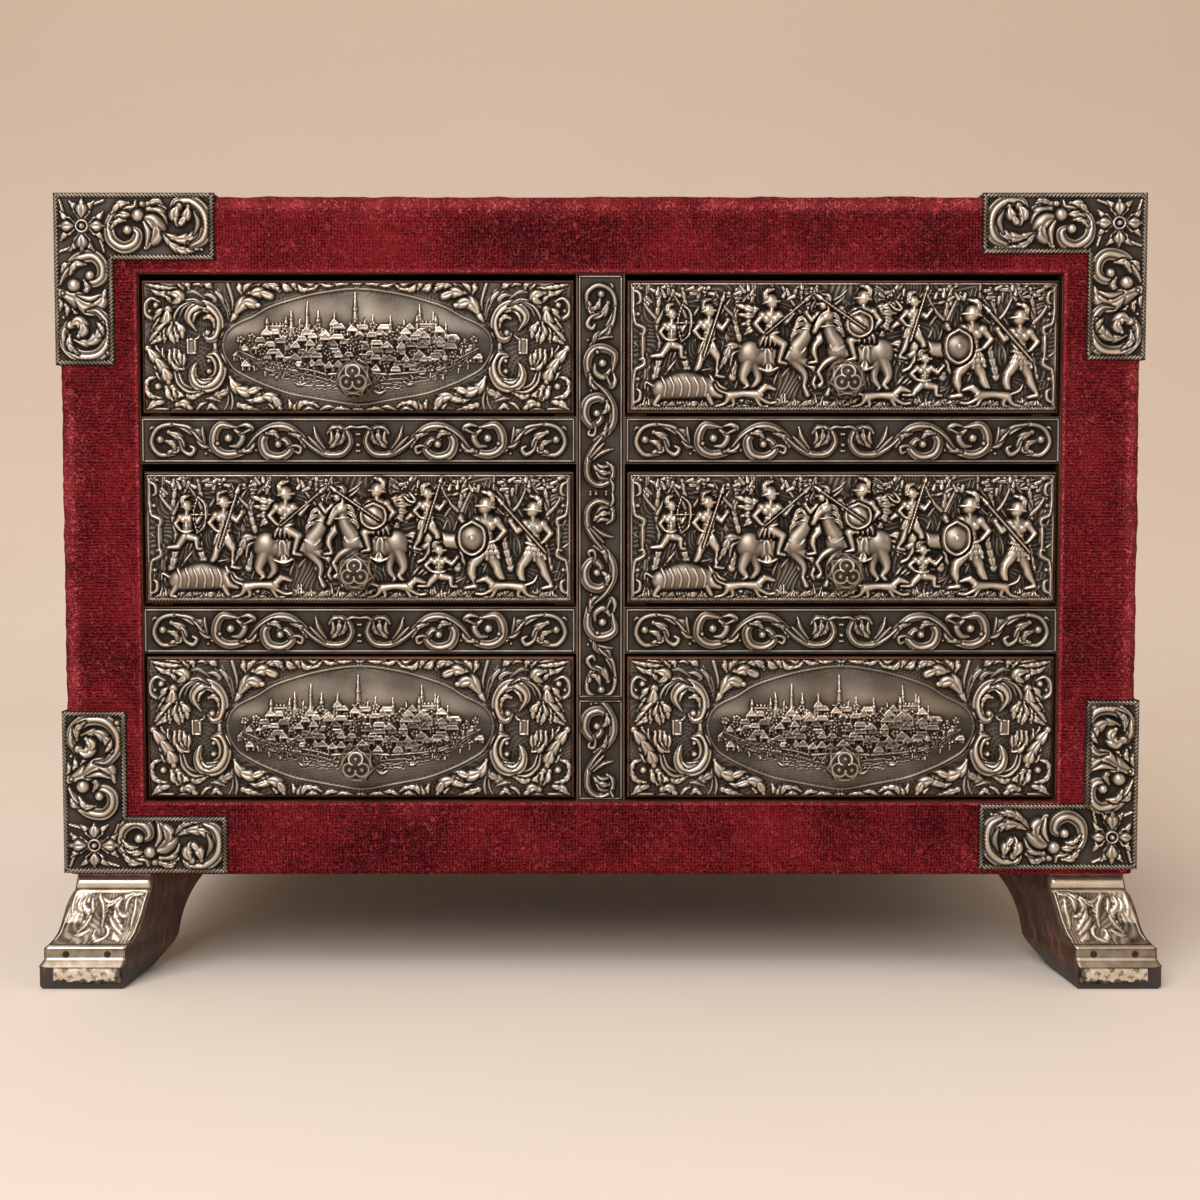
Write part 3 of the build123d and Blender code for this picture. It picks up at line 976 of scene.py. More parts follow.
# ------------------------------------------------------------------ ornament
def band(height: float, groove: float, *points: tuple[float, float, float]) -> Stroke:
    """Draws a round band.

    Args:
        height: the height of its widest place.
        groove: how deep the line chased along its crown is, from 0 to 1.
        points: across, up and width at each point of its middle line.

    Returns:
        The band.
    """
    return Stroke(
        tuple(point[:2] for point in points), tuple(point[2] for point in points), height, groove
    )


TOWN_SCROLLWORK: tuple[Mark, ...] = (
    band(0.7, 0, (-43.9, 16.6, 0.4), (-40.7, 13.8, 0.6), (-38.9, 10.8, 0.6), (-38.3, 8, 0.4)),
    band(0.7, 0, (-41.5, 17.1, 0.4), (-38.9, 13.4, 0.6), (-37.9, 9.3, 0.4)),
    band(0.9, 0, (-42.6, 12.5, 0.5), (-40.6, 9.8, 1), (-39.1, 6.1, 0.4)),
    band(0.8, 0, (-46, 13, 0.3), (-42.6, 13, 0.7), (-40, 9.6, 0.4)),
    band(1.2, 0.35, (-45.8, 15.3, 0.5), (-43.7, 15.1, 1.3), (-42.2, 13.8, 1.2),
         (-43.9, 12.6, 0.5)),
    band(1.2, 0.35, (-41.9, 16, 1), (-40.4, 14.5, 1.3), (-39.8, 12.6, 0.4)),
    band(0.9, 0.35, (-51.8, 15.6, 0.4), (-48.6, 16.2, 1.1), (-45.2, 14.1, 0.5)),
    band(1.2, 0.4, (-43.7, -16.4, 1.1), (-41.7, -14.5, 3), (-38.9, -13, 2.1), (-38.4, -11.3, 0.5)),
    band(1, 0.4, (-45.2, -15.4, 0.7), (-43.4, -15.4, 1.6), (-40.7, -16.4, 0.5)),
    band(0.9, 0, (-37.9, -19.2, 0.4), (-37.3, -16.2, 1), (-37.9, -13.2, 0.4)),
    band(0.8, 0, (-40.2, -19.2, 0.4), (-38.9, -16.9, 0.7), (-38.5, -14.3, 0.4)),
    band(1.1, 0, (-37.7, 6.1, 0.5), (-36.8, 9.3, 1), (-37.1, 13.8, 1), (-38.5, 18.8, 1.3)),
    band(0.9, 0, (-37.2, 8.1, 0.4), (-35.1, 12.3, 0.8), (-34.7, 15.3, 0.4)),
    band(1.5, 0.35, (-34.2, 15.3, 1.1), (-34.7, 17.1, 2.8), (-35.1, 18.8, 1.3)),
    band(1.5, 0.35, (-33.5, 15.6, 0.9), (-32.9, 17.3, 2.5), (-31.7, 18.8, 1.5)),
    band(1.2, 0.35, (-34.7, 13.6, 0.4), (-31.8, 16.8, 1.1), (-28, 18.6, 1.6), (-25, 19.4, 0.9)),
    band(1.6, 0.4, (-33.3, 13.8, 0.5), (-29.1, 16.9, 1.5), (-25.4, 18.3, 2.9), (-23.3, 16.9, 2)),
    band(1.7, 0.4, (-35.9, 9.8, 0.6), (-33.3, 13.8, 1.7), (-29.7, 16, 3.6), (-25.8, 14.9, 2.5)),
    band(1.9, 0.4, (-38, 5.6, 0.7), (-36.1, 9.6, 2.3), (-33.3, 13, 4.3), (-29.3, 12.1, 2.5)),
    band(1.1, 0.35, (-23.1, 16, 0.5), (-21.6, 18.3, 1.1), (-20.5, 19.4, 1.1)),
    band(1.6, 0.4, (-22, 19, 1.6), (-21.1, 17.5, 2.9), (-19.8, 16.9, 1.9)),
    band(1.5, 0.4, (-19.8, 19, 1.3), (-18.8, 18.3, 2.1), (-18.1, 16.9, 0.9)),
    band(1.4, 0.4, (-31, -16, 0.6), (-26.9, -15.4, 2.3), (-25.4, -18.1, 1.3)),
    band(1.4, 0.4, (-35.5, -17.3, 1.9), (-32.9, -18.1, 2.3), (-29.5, -19.1, 0.8)),
    band(1.7, 0.4, (-34.7, -14.3, 1), (-31, -15.8, 2.7), (-27.3, -14.7, 3.2), (-24.5, -15.8, 3.4),
         (-23.1, -18.6, 1.6)),
    band(1.4, 0.4, (-36.2, -12.8, 0.5), (-33.3, -14.3, 2.1), (-28.8, -14.1, 0.9)),
    band(1.9, 0.4, (-38, -9.1, 1.3), (-36.4, -12, 3.4), (-32.9, -13.4, 3.6), (-28.6, -12.1, 1.3)),
    band(1.4, 0.4, (-20.5, -16, 1), (-20, -17.3, 1.9), (-19.2, -19.2, 2.1)),
    band(1.4, 0.4, (-17.7, -16.8, 1.4), (-18.5, -17.7, 1.9), (-19.2, -19.2, 1.5)),
    band(1.6, 0, (-42.8, 2.9, 2.5), (-42.2, 0.7, 1.9), (-42.2, -2, 2.1)),
    band(2.3, 0.4, (-47.9, 4.6, 0.5), (-49.7, 7.4, 2.2), (-49.8, 9.3, 3.1), (-48.2, 11.1, 3.7),
         (-45.8, 12, 3.6), (-43.2, 10.9, 3.4), (-41.4, 8.3, 3.1), (-41.2, 5.5, 3.1),
         (-42.2, 2.9, 2.8), (-44.3, 2.2, 2.1), (-45.2, 3.7, 1.6)),
    band(2.3, 0, (-48.6, 7.4, 0.5), (-48, 9.3, 1.3), (-46.4, 10.5, 0.4)),
    band(1.9, 0.3, (-45.5, 8.4, 1.1), (-43.9, 8.8, 1.9), (-42.7, 7.6, 1.6), (-42.4, 5.1, 0.6)),
    Bead((-44.5, 4.1), 1, 2.2),
    band(2.3, 0.4, (-44.3, -2.4, 1), (-42.3, -2.2, 2.2), (-40.7, -4.4, 2.8), (-40.7, -7.7, 3.4),
         (-42.5, -10.6, 4.2), (-45.2, -11.6, 4.3), (-47.9, -10.9, 3.7), (-49.1, -8.5, 2.6),
         (-48.6, -5.9, 1.7), (-47.9, -4.9, 0.7)),
    band(2.3, 0, (-47.8, -9.5, 0.5), (-46, -10.8, 1.3), (-43.4, -10.2, 0.4)),
    band(1.6, 0, (-44.9, -2.9, 0.7), (-43.2, -3.5, 1.3), (-42.2, -5.7, 1.3), (-42.6, -8.1, 1.1),
         (-44.3, -9.1, 0.4)),
    Bead((-44.2, -4.3), 0.7, 1.9),
    Bead((-44.2, -7.3), 0.9, 2.1),
    band(1.2, 0.4, (-55.2, 11.3, 0.5), (-52, 13, 1.3), (-48.2, 13.5, 1.5), (-45, 11.8, 0.6)),
    band(1.2, 0, (-54.7, 6.5, 0.6), (-54.2, 9.3, 0.9), (-52.3, 11.9, 1), (-48.8, 13.3, 0.5)),
    band(1, 0, (-52.8, 9.1, 0.4), (-51.6, 11.3, 0.8), (-49.3, 12.8, 0.4)),
    band(1.2, 0, (-54.5, -7.2, 0.6), (-53.5, -10.9, 1.2), (-50.5, -13.4, 1.3),
         (-46.7, -13.4, 0.6)),
    band(1.1, 0, (-53.5, -7.4, 0.4), (-52, -10.9, 1), (-49.2, -12.5, 0.4)),
    band(1.4, 0.4, (-52.2, -14.1, 1.1), (-49.7, -15.1, 2.1), (-45.8, -13.6, 0.5)),
    band(1.6, 0.3, (-58.7, 13.2, 0.7), (-61.1, 14.2, 1.3), (-62.9, 12.5, 1.7), (-62.8, 9.6, 1.8),
         (-60.6, 8.2, 1.3), (-58.5, 9.3, 0.5)),
    Bead((-59.8, 12.2), 1, 1.7),
    Bead((-61.7, 10.5), 0.6, 1.4),
    band(1.6, 0.3, (-60.2, -9.1, 0.8), (-62.4, -9.8, 1.6), (-63.1, -12.4, 2), (-61.5, -14.7, 1.9),
         (-58.7, -15.3, 0.8)),
    Bead((-59.5, -11.8), 1.1, 1.7),
    band(1.5, 0.4, (-62.6, 18.4, 0.7), (-59.1, 17.6, 1.6), (-55, 17.2, 2), (-51.4, 15.8, 0.8)),
    band(1.6, 0.4, (-61.3, 16.8, 0.7), (-59.1, 15.7, 1.7), (-56.7, 15.3, 2.5), (-55.4, 13.2, 1.1)),
    band(2, 0.4, (-55.9, 15.8, 1.5), (-53.3, 15.3, 3.5), (-52.8, 13.9, 3), (-54.7, 12.8, 1)),
    band(1.7, 0.4, (-53.8, 18.8, 1.7), (-52.2, 18.3, 2.8), (-51.6, 16.8, 0.9)),
    band(1.6, 0.4, (-51.6, 19, 1.6), (-50.3, 18.2, 2), (-50, 16.9, 0.7)),
    band(1.3, 0.4, (-58, 18.9, 1.1), (-55.9, 18.6, 1.5), (-54, 18.2, 0.6)),
    band(1.6, 0.4, (-45.8, 18.9, 1.5), (-44.3, 18.3, 2.8), (-43.3, 17.4, 1.3)),
    band(1.1, 0, (-48.6, 18.3, 0.7), (-47.1, 18.6, 1.3), (-46, 17.7, 0.4)),
    band(1.8, 0.4, (-56.5, 11.3, 1.9), (-58.5, 9.9, 3.4), (-60.3, 8, 1)),
    band(1.7, 0.4, (-56.7, 9.3, 1.9), (-59.1, 6.6, 3), (-61.1, 4.4, 0.8)),
    band(2, 0.4, (-56.2, 11, 2.5), (-57, 6.5, 3.9), (-59.5, 3.7, 3.3), (-61.8, 1.8, 1)),
    band(1.8, 0.4, (-56.3, 5.5, 1.6), (-58.1, 2.9, 2.6), (-61.3, 0.9, 0.8)),
    band(1.7, 0.4, (-56, 6.3, 1.1), (-56.9, 4, 2.5), (-57.4, 1.3, 0.8)),
    band(1.9, 0.4, (-54.9, 6.9, 1.5), (-55.4, 4, 3.1), (-54.5, 1, 1.1)),
    band(1.9, 0.4, (-54, 7, 1.5), (-53.6, 4.4, 2.4), (-53.5, 1.6, 0.9)),
    band(1.8, 0.4, (-53.7, 6.9, 1.5), (-52.3, 5.1, 2.8), (-52, 2.7, 1)),
    band(1.6, 0.4, (-59.9, 0, 1), (-59.1, -2.7, 2), (-58, -5.3, 1.1)),
    band(1.5, 0.4, (-58, -0.5, 0.7), (-57.9, -3.5, 1.6), (-57, -6.1, 0.9)),
    band(1.6, 0.4, (-61.1, -4, 0.8), (-59.3, -6.2, 2.3), (-57.2, -8.5, 1.6)),
    band(1.6, 0.4, (-60.3, -7.7, 0.7), (-58.5, -9.1, 2.1), (-56.7, -10.2, 1.1)),
    band(2, 0.4, (-62.4, -0.5, 2.1), (-60.7, -2.7, 3.4), (-58.3, -5.7, 3.1), (-56.8, -8.5, 3.9),
         (-56, -11.6, 1.1)),
    band(1.9, 0.4, (-55.9, -1.2, 1.3), (-55.3, -3.8, 2.8), (-53.7, -5.9, 3), (-51.8, -6.6, 1)),
    band(1.9, 0.4, (-54.4, -1, 1.3), (-53.8, -3.5, 2.5), (-52.5, -5.7, 1.1)),
    band(1.8, 0.4, (-53.2, -1.2, 1), (-52.6, -3.5, 2.2), (-51.8, -5.7, 1.1)),
    band(1.5, 0, (-51.6, -2.2, 0.6), (-51.5, -3.8, 1.3), (-51.8, -5.3, 0.9)),
    band(1.6, 0.4, (-62.5, -18.8, 1.6), (-60.8, -17.1, 2.8), (-58.1, -16.4, 1.3)),
    band(1.3, 0, (-62.1, -19.2, 0.8), (-59.8, -18.8, 1.6), (-56.7, -18.6, 0.8)),
    band(1.9, 0.4, (-57, -12.1, 1.5), (-56.3, -13.8, 3.1), (-54.9, -15.6, 1.9)),
    band(1.9, 0.4, (-55.2, -12, 1.9), (-54, -13.8, 3.2), (-53.8, -15.8, 1.9)),
    band(1.7, 0.4, (-53.5, -13.4, 1.1), (-52.6, -14.7, 2.3), (-53.5, -16.4, 1.5)),
    band(1.7, 0.4, (-53.8, -17.3, 2), (-51.8, -16.8, 3.2), (-49.9, -18.4, 1.9)),
    band(1.3, 0, (-55.3, -19.2, 0.9), (-53.5, -18.8, 1.6), (-51.6, -19.2, 1.1)),
    band(1.4, 0.4, (-44.9, -18.6, 1), (-43.7, -17.5, 1.9), (-42.2, -18.6, 1.1)),
    band(1.1, 0, (-48.2, -19, 0.7), (-46.9, -17.3, 1.3), (-45.2, -16.6, 0.5)),
    band(1.5, 0.4, (-17.6, 18.6, 0.8), (-16.4, 16.9, 2), (-13.6, 16.6, 2), (-11.6, 18.2, 0.8)),
    band(1.5, 0.4, (-15.4, 19, 1.2), (-13.8, 18.2, 1.6), (-12.6, 19, 0.8)),
    band(1.4, 0.4, (-11.2, 18.8, 0.8), (-8.6, 17.8, 1.7), (-5.8, 18.4, 0.6)),
    band(1.5, 0.4, (-7.4, 19.1, 0.9), (-4.6, 18.2, 1.9), (-2.6, 18.8, 0.8)),
    band(1.5, 0.4, (0, 17.6, 1.2), (-0.6, 18.6, 1.5), (-1.8, 19.2, 0.6)),
    band(1.5, 0.4, (-17.8, -18.8, 1), (-16.8, -16.9, 2.1), (-14, -16.5, 2), (-11.8, -17.8, 0.8)),
    band(1.5, 0.4, (-16.2, -19, 1.2), (-14.4, -18.2, 1.7), (-12.8, -19, 0.8)),
    band(1.4, 0.4, (-11.4, -18.9, 0.8), (-8.8, -17.7, 1.7), (-6, -18.4, 0.6)),
    band(1.5, 0.4, (-7.6, -19.1, 0.9), (-4.8, -18.2, 1.9), (-2.6, -18.9, 0.8)),
    band(1.5, 0.4, (0, -17.6, 1.2), (-0.6, -18.6, 1.5), (-1.8, -19.2, 0.6)),
)

MOUNT_SCROLLWORK: tuple[Mark, ...] = (
    band(1.9, 0.4, (24.7, 2.6, 1), (24, 4.4, 1.8), (20.6, 4.6, 2.9), (18.3, 6.7, 3),
         (16.8, 9.7, 2.8), (17.4, 13.8, 3.4), (20.8, 16.2, 3.6), (24.2, 15, 3.5),
         (25.2, 12.1, 2.8), (23, 10.4, 1.4)),
    band(1.9, 0.4, (23.5, 6.7, 1), (20.6, 6.8, 2.6), (17.6, 9.1, 1)),
    band(1.8, 0.4, (22.6, 3.2, 1.1), (19.9, 3.7, 2.6), (17.6, 6.1, 1)),
    band(1.9, 0.4, (21.6, 8.3, 0.8), (19.3, 8.5, 1.8), (17.3, 10.7, 0.7)),
    Bead((22.2, 11.1), 1.4, 2.1),
    band(1.6, 0.4, (26.5, 3.5, 1.8), (30.1, 3.6, 3.2), (33.4, 4.8, 1.4)),
    band(1.7, 0.4, (28.6, 4.9, 2.2), (31.9, 6.4, 3.4), (33.7, 9.1, 1.3)),
    band(1.4, 0.4, (28.3, 3.4, 1.6), (31, 2.5, 2), (32.5, 3.4, 0.8)),
    band(1.8, 0.4, (29.5, 8.2, 1.8), (32.2, 11.2, 3), (30.7, 14.8, 1.1)),
    band(2.1, 0.4, (25.6, 7.6, 2.2), (29.5, 8.8, 5.3), (30.8, 12.4, 4.9), (27.4, 16.4, 1.1)),
    band(2.1, 0, (27.1, 8.8, 1), (28.4, 11.8, 2), (27.8, 15.7, 0.7)),
    Bead((25.3, 6.8), 1.8, 2.2),
    band(1.7, 0.4, (32.6, 12.1, 1.1), (36.7, 13.8, 2.9), (40.9, 13.4, 3.5), (43.8, 11.3, 2)),
    band(1.6, 0.4, (32.6, 12.4, 0.8), (34.9, 15.2, 2), (38.6, 17.1, 2.8), (42.9, 16.4, 1)),
    band(1.7, 0.4, (40.3, 15.1, 1.2), (42.6, 15.7, 2.6), (44.4, 13.4, 1.2)),
    band(2, 0.4, (35.3, 6.2, 1.4), (36.7, 3.2, 2.9), (40.9, 2.8, 3.7), (44.4, 5.5, 3.8),
         (45.6, 10, 3.7), (44.3, 13.9, 3.2), (41.2, 15.7, 1.8)),
    band(1.3, 0, (41.6, 5.4, 0.8), (43.1, 8.9, 2), (41.9, 12.5, 0.8)),
    band(2.2, 0.4, (37.6, 4.1, 2.2), (36.2, 6.5, 3.6), (37.3, 9.1, 2.2)),
    band(2.2, 0.4, (40.3, 4.2, 1.6), (39.8, 6.7, 3.1), (38.1, 9.1, 2)),
    Bead((44, 16.8), 0.5, 1.2),
    band(2, 0.4, (2, 27, 0.7), (3.4, 24.1, 1.9), (5, 21.7, 3), (7.9, 19.4, 3.6), (11.9, 18.8, 3.6),
         (14.4, 21.2, 3.5), (14.4, 24.8, 3.2), (11.9, 26.5, 2.8), (10.1, 24.8, 1.4)),
    band(2, 0.4, (9.6, 21.2, 0.8), (6.7, 21.2, 2.4), (5, 24.1, 0.8)),
    band(1.6, 0.4, (4.9, 20.8, 0.8), (3.4, 21.6, 2), (2.5, 23.6, 0.7)),
    Bead((10.9, 24.4), 1.4, 2.1),
    band(1.6, 0.4, (2, 30.1, 1.6), (2.3, 32.5, 1.8), (1.9, 34.6, 0.6)),
    band(1.7, 0.4, (3.6, 31.3, 1.7), (4.2, 33.7, 2.2), (3.8, 36.1, 0.7)),
    band(1.7, 0.4, (5.4, 32.2, 1.7), (6.5, 34.3, 2.3), (6.5, 36.4, 0.7)),
    band(1.7, 0.4, (7.3, 32.5, 1.6), (8.9, 34.4, 2), (9.5, 36.1, 0.7)),
    band(1.5, 0.4, (9.1, 25.9, 1), (10.1, 28.3, 2), (7.9, 30.1, 1.1)),
    band(2, 0.4, (1.8, 29.4, 2.4), (6.1, 31, 4.7), (10.7, 33.7, 5), (14, 32.5, 3.7),
         (15.3, 28.6, 0.7)),
    band(2, 0, (7.3, 30.4, 0.7), (10.9, 31.3, 1.9), (14, 30.1, 0.7)),
    Bead((6.1, 27.4), 1.9, 2.2),
    Bead((2.9, 29.7), 0.6, 1.8),
    band(2, 0.4, (9.7, 35, 0.8), (13.1, 35, 2.3), (16.1, 38.8, 3), (16.3, 43.4, 3.2),
         (13.3, 47.6, 3.7), (8.4, 48.4, 3.8), (4.2, 46, 3.4), (2.8, 41.9, 2.8), (4.1, 38.6, 1.6)),
    band(1.7, 0.4, (5.9, 43.4, 1), (10.1, 44.3, 2.8), (13.2, 41.9, 3.4), (14.6, 38.3, 1.3)),
    band(1.7, 0.4, (14.6, 41.8, 0.7), (14, 39.7, 1.8), (12.7, 38.2, 0.7)),
    band(1.7, 0.4, (4.6, 42, 1.1), (4.6, 45.2, 2.4), (7.3, 47.7, 0.8)),
    band(2.2, 0.4, (4.9, 39.1, 2.4), (7.3, 38, 3.7), (8.9, 40.3, 3.4), (7.3, 42.3, 2)),
    Bead((16.2, 47.2), 0.9, 1.5),
    Bead((2.8, 36.8), 0.5, 1.2),
)

RAIL_SCROLLWORK: tuple[Mark, ...] = (
    band(1.1, 0, (-62.3, 3, 0.4), (-61.5, 3.8, 0.9), (-60.3, 3.4, 0.5)),
    band(1.3, 0, (-49.9, 2, 0.9), (-54.7, 4.6, 1.2), (-59.7, 3.6, 1.3), (-61.7, -0.6, 1.4),
         (-59.3, -4.2, 1.4), (-54.7, -4, 0.8)),
    band(1.7, 0.4, (-56.5, 2.4, 1.4), (-53.5, 0.8, 2.6), (-53.3, -2.2, 2.6), (-56.5, -3.6, 1.2)),
    band(1.7, 0.4, (-57.5, -0.2, 1), (-55.3, -1, 2), (-54.7, -2.6, 1.2)),
    Bead((-59.1, 0.2), 1.1, 1.5),
    band(1.4, 0, (-53.3, -0.4, 0.8), (-52.3, -3, 1.1), (-50.1, -4.2, 1.4), (-48.9, -2.6, 1.2),
         (-50.1, -1.8, 0.8)),
    band(1.4, 0, (-55.1, 4.8, 0.8), (-50.1, 3.6, 1.2), (-46.7, -0.6, 1.4), (-43.3, -3.6, 0.8)),
    band(1.3, 0.4, (-49.3, 3.2, 0.6), (-47.3, 2.4, 1.6), (-46.5, 0.4, 0.6)),
    band(1.2, 0, (-46.5, 3.8, 0.5), (-46.3, 1.6, 1.1), (-45.7, -0.8, 0.6)),
    band(1.3, 0.4, (-48.1, -0.4, 0.6), (-46.3, -1.8, 1.4), (-43.9, -2.2, 0.6)),
    band(1.8, 0.4, (-36.3, 3.8, 1), (-41.1, 4.4, 2.2), (-43.1, 1, 2.6), (-42.3, -2.6, 2.6),
         (-38.9, -4.2, 2.4), (-34.1, -3, 2), (-30.6, 0.6, 1)),
    band(1.5, 0, (-36.7, 3, 1), (-34.5, 1, 1.8), (-35.9, -1.6, 1.8), (-38.3, -1.8, 0.8)),
    band(1.7, 0.4, (-35.3, -3.4, 1.2), (-32.1, -2.2, 2.4), (-31.1, 0.6, 0.8)),
    Bead((-38.7, 0.6), 1.2, 1.8),
    Bead((-41.9, -1), 0.7, 1.9),
    band(1.5, 0, (-35.5, 4.2, 0.6), (-33.3, 4.6, 1.4), (-31.7, 3.6, 1.5), (-32.9, 2.4, 0.8)),
    band(1.2, 0, (-35.1, 1.8, 0.5), (-33.3, 2.6, 0.9), (-32.1, 3.2, 0.8)),
    band(1.7, 0.4, (-33.3, -2.2, 0.8), (-29.9, 1.6, 1.8), (-25.1, 4, 2.4), (-20.4, 3.6, 2.2),
         (-16.6, 0.4, 1.8), (-13.2, -3, 1)),
    band(1.9, 0.4, (-25.9, 2.8, 1.2), (-28.5, -0.2, 2.6), (-27.3, -4, 2.8), (-23.4, -5, 2.6),
         (-20.4, -3, 2.2), (-21.6, -0.2, 1.8), (-24.4, 0, 1)),
    band(1.9, 0.4, (-27.3, 2, 1.2), (-25.1, 2.2, 2.2), (-23.8, 0.8, 1)),
    Bead((-23.8, -1.2), 1.1, 2),
    band(1.4, 0.4, (-20.6, 2, 0.8), (-17.6, 1, 1.7), (-15.8, -2.2, 0.6)),
    band(1.2, 0, (-21.2, -2.4, 0.5), (-19.2, -1.6, 0.9), (-17.2, -2.2, 1.1), (-17.6, -3.8, 1),
         (-18.8, -3.4, 0.6)),
    band(1.6, 0.4, (-16.6, 0.4, 1), (-13.2, -2.4, 1.6), (-9, -4.2, 1.8), (-4.6, -3.8, 1.8),
         (-2.4, -0.6, 1.7), (-3.8, 3, 1.6), (-7.4, 3.8, 1.5), (-9.2, 2, 0.8)),
    band(1.4, 0.4, (-13.2, 4, 0.5), (-12.2, 0.6, 1.5), (-10, -2.4, 0.7)),
    band(1.3, 0, (-14.8, 1, 0.6), (-12.8, -1, 1.3), (-10.4, -3.4, 0.6)),
    band(1.8, 0.4, (-6, 2.8, 1.2), (-6.2, 0.2, 2.7), (-8.2, -2.2, 0.9)),
    band(1.5, 0.4, (-4.2, 2.4, 0.8), (-4.6, 0, 1.6), (-6.2, -1.4, 0.7)),
    band(1.5, 0, (-8, 2.4, 0.8), (-7.8, 0.4, 1.4), (-8.6, -1, 0.6)),
    band(1.3, 0, (-4, 3.2, 0.7), (-2.2, 4, 1), (0, 3.8, 0.6)),
    Bead((-0.4, 1.8), 0.4, 1.2),
    Bead((-0.2, -1.4), 0.5, 1.2),
    Bead((-0.4, -3.2), 0.4, 1.1),
    Bead((-45.5, -4), 0.4, 1.1),
    Bead((-30.5, -3), 0.4, 1.1),
)


class Panel(Enum):
    """The two embossed designs on the drawer fronts."""

    TOWN = "town"
    HUNT = "hunt"


@dataclass
class TownDesign:
    """A pointed oval with a river town between scrolling acanthus."""

    oval_top: tuple[Point, ...] = (
        (-40.2, 0.7), (-39.0, 4.1), (-36.0, 6.7), (-31.1, 8.9), (-26.3, 11.6), (-20.4, 13.6),
        (-13.0, 15.5), (-4.8, 16.8), (0.0, 17.1),
    )
    oval_bottom: tuple[Point, ...] = (
        (-40.2, 0.7), (-39.4, -2.6), (-36.8, -6.6), (-32.3, -9.3), (-27.8, -11.3), (-20.4, -13.9),
        (-13.0, -15.3), (-3.3, -16.9), (0.0, -17.1),
    )
    seed: int = 11

    def work(self, sheet: Relief, tall: float) -> None:
        """Works the design into a sheet.

        Args:
            sheet: the flat sheet.
            tall: the panel's height against the one the design was drawn for.
        """
        sheet.hatch(chased=0.22, pitch=0.95)
        sheet.draw(TOWN_SCROLLWORK, size=(1.0, tall), wide=1.08)
        for line in (self.oval_top, self.oval_bottom):
            points = np.array(line) * (1, tall)
            sheet.stroke(points, [0.8] * len(points), 0.62)
            sheet.stroke(points * (1.035, 1.045), [0.45] * len(points), 0.4)
        self.collar(sheet)
        sheet.mirror()
        self.field(sheet, tall)
        self.town(sheet)

    def collar(self, sheet: Relief) -> None:
        """Works the square collar with its pierced eye beside the scrolls."""
        frame_line = ((-50.5, 2.1), (-48.3, 2.2), (-48.2, -1.9), (-50.4, -2.0), (-50.5, 2.1))
        sheet.bars(frame_line, 0.75, 1.5)
        sheet.stroke([(-48.3, 2.2), (-47.4, 2.6), (-46.8, 3.4)], [0.6, 0.5, 0.3], 1.2)
        sheet.slab([(-50.3, -1.8), (-48.4, -1.7), (-48.5, 2.0), (-50.3, 1.9)], 0.75)

    def field(self, sheet: Relief, tall: float) -> None:
        """Cushions the field of the oval and paints a highlight over its sky, so that the town
        stands in light.
        """
        top = np.interp(-np.abs(sheet.across), *np.array(self.oval_top).T) * tall
        bottom = np.interp(-np.abs(sheet.across), *np.array(self.oval_bottom).T) * tall
        x, z = sheet.across[:, None], sheet.up[None, :]
        middle, half = (top + bottom) / 2, np.maximum((top - bottom) / 2, 0.1)
        share = np.clip(1 - ((z - middle[:, None]) / half[:, None]) ** 2, 0, 1)
        inside = share * (np.abs(x) < 40)
        sheet.height = np.maximum(sheet.height, 0.42 * np.sqrt(inside))
        # Painted highlight: the sky above the town is lightened in soft clouds and fine slanting
        # streaks.
        clouds = np.sin(x / 5.1 + 0.4 * z) * np.sin(x / 8.3 - 0.3 * z + 1.1)
        rays = np.cos(2 * math.pi * (x + 0.55 * z) / 0.95 + 1.5 * np.sin(x / 4))
        inner = np.sqrt(inside)
        sky_highlight = np.clip((z + 1.0) / 6, 0, 1) * inner
        sheet.shine += sky_highlight * (0.12 + 0.1 * clouds + 0.05 * rays)
        sheet.shine -= 0.13 * np.clip((5 - z) / 3, 0, 1) * np.clip((z + 11) / 3, 0, 1) * inner
        hills = np.clip((-7 - z) / 3, 0, 1) * inner
        sheet.shine += hills * (0.04 + 0.05 * np.cos(2 * math.pi * (z - 0.12 * x) / 0.95))

    def town(self, sheet: Relief) -> None:
        """Works the roofs, towers, walls, trees and river of a town of no one place."""
        chance = np.random.default_rng(self.seed)
        for x, base, tall, wide in (
            (-19.6, 2.6, 8.2, 1.7), (-14.9, 2.2, 11.4, 1.5), (-11.6, 2.4, 8.0, 2.3),
            (-6.8, 1.5, 9.2, 1.9), (-0.6, 1.6, 14.4, 2.3), (4.6, 1.2, 8.0, 2.6),
            (9.9, 1.6, 7.4, 1.8), (18.6, 2.8, 9.8, 2.0), (22.6, 2.6, 7.6, 1.7),
        ):
            self.spire(sheet, x, base, tall, wide)
        domes = ((-17.2, 4.6, 1.3), (2.2, 4.6, 1.5), (14.0, 4.2, 1.8), (26.4, 3.0, 1.3))
        for x, z, radius in domes:
            sheet.stroke([(x, z + 0.8), (x, z + 3.6)], [0.8, 0.25], 1.3)
            sheet.bead((x, z), radius, 1.5)
        self.castle(sheet, -24.0, 4.4)
        self.castle(sheet, 20.6, 5.0)
        for row in range(8):
            base = 4.2 - 1.7 * row
            reach = 36.5 - 1.9 * abs(row - 2.4) ** 1.25
            for x in np.arange(-reach, reach, 3.3):
                place = x + chance.uniform(-1.1, 1.1) + 1.6 * (row % 2)
                foot = base + chance.uniform(-0.9, 0.9) - 0.0035 * x**2
                height = chance.uniform(1.0, 1.6)
                if chance.random() < 0.24:
                    self.tree(sheet, chance, place, foot)
                else:
                    self.house(
                        sheet, place, foot, chance.uniform(2.0, 3.6), chance.uniform(1.8, 3.0),
                        height, chance.random() > 0.45,
                    )
        self.shore(sheet, chance)

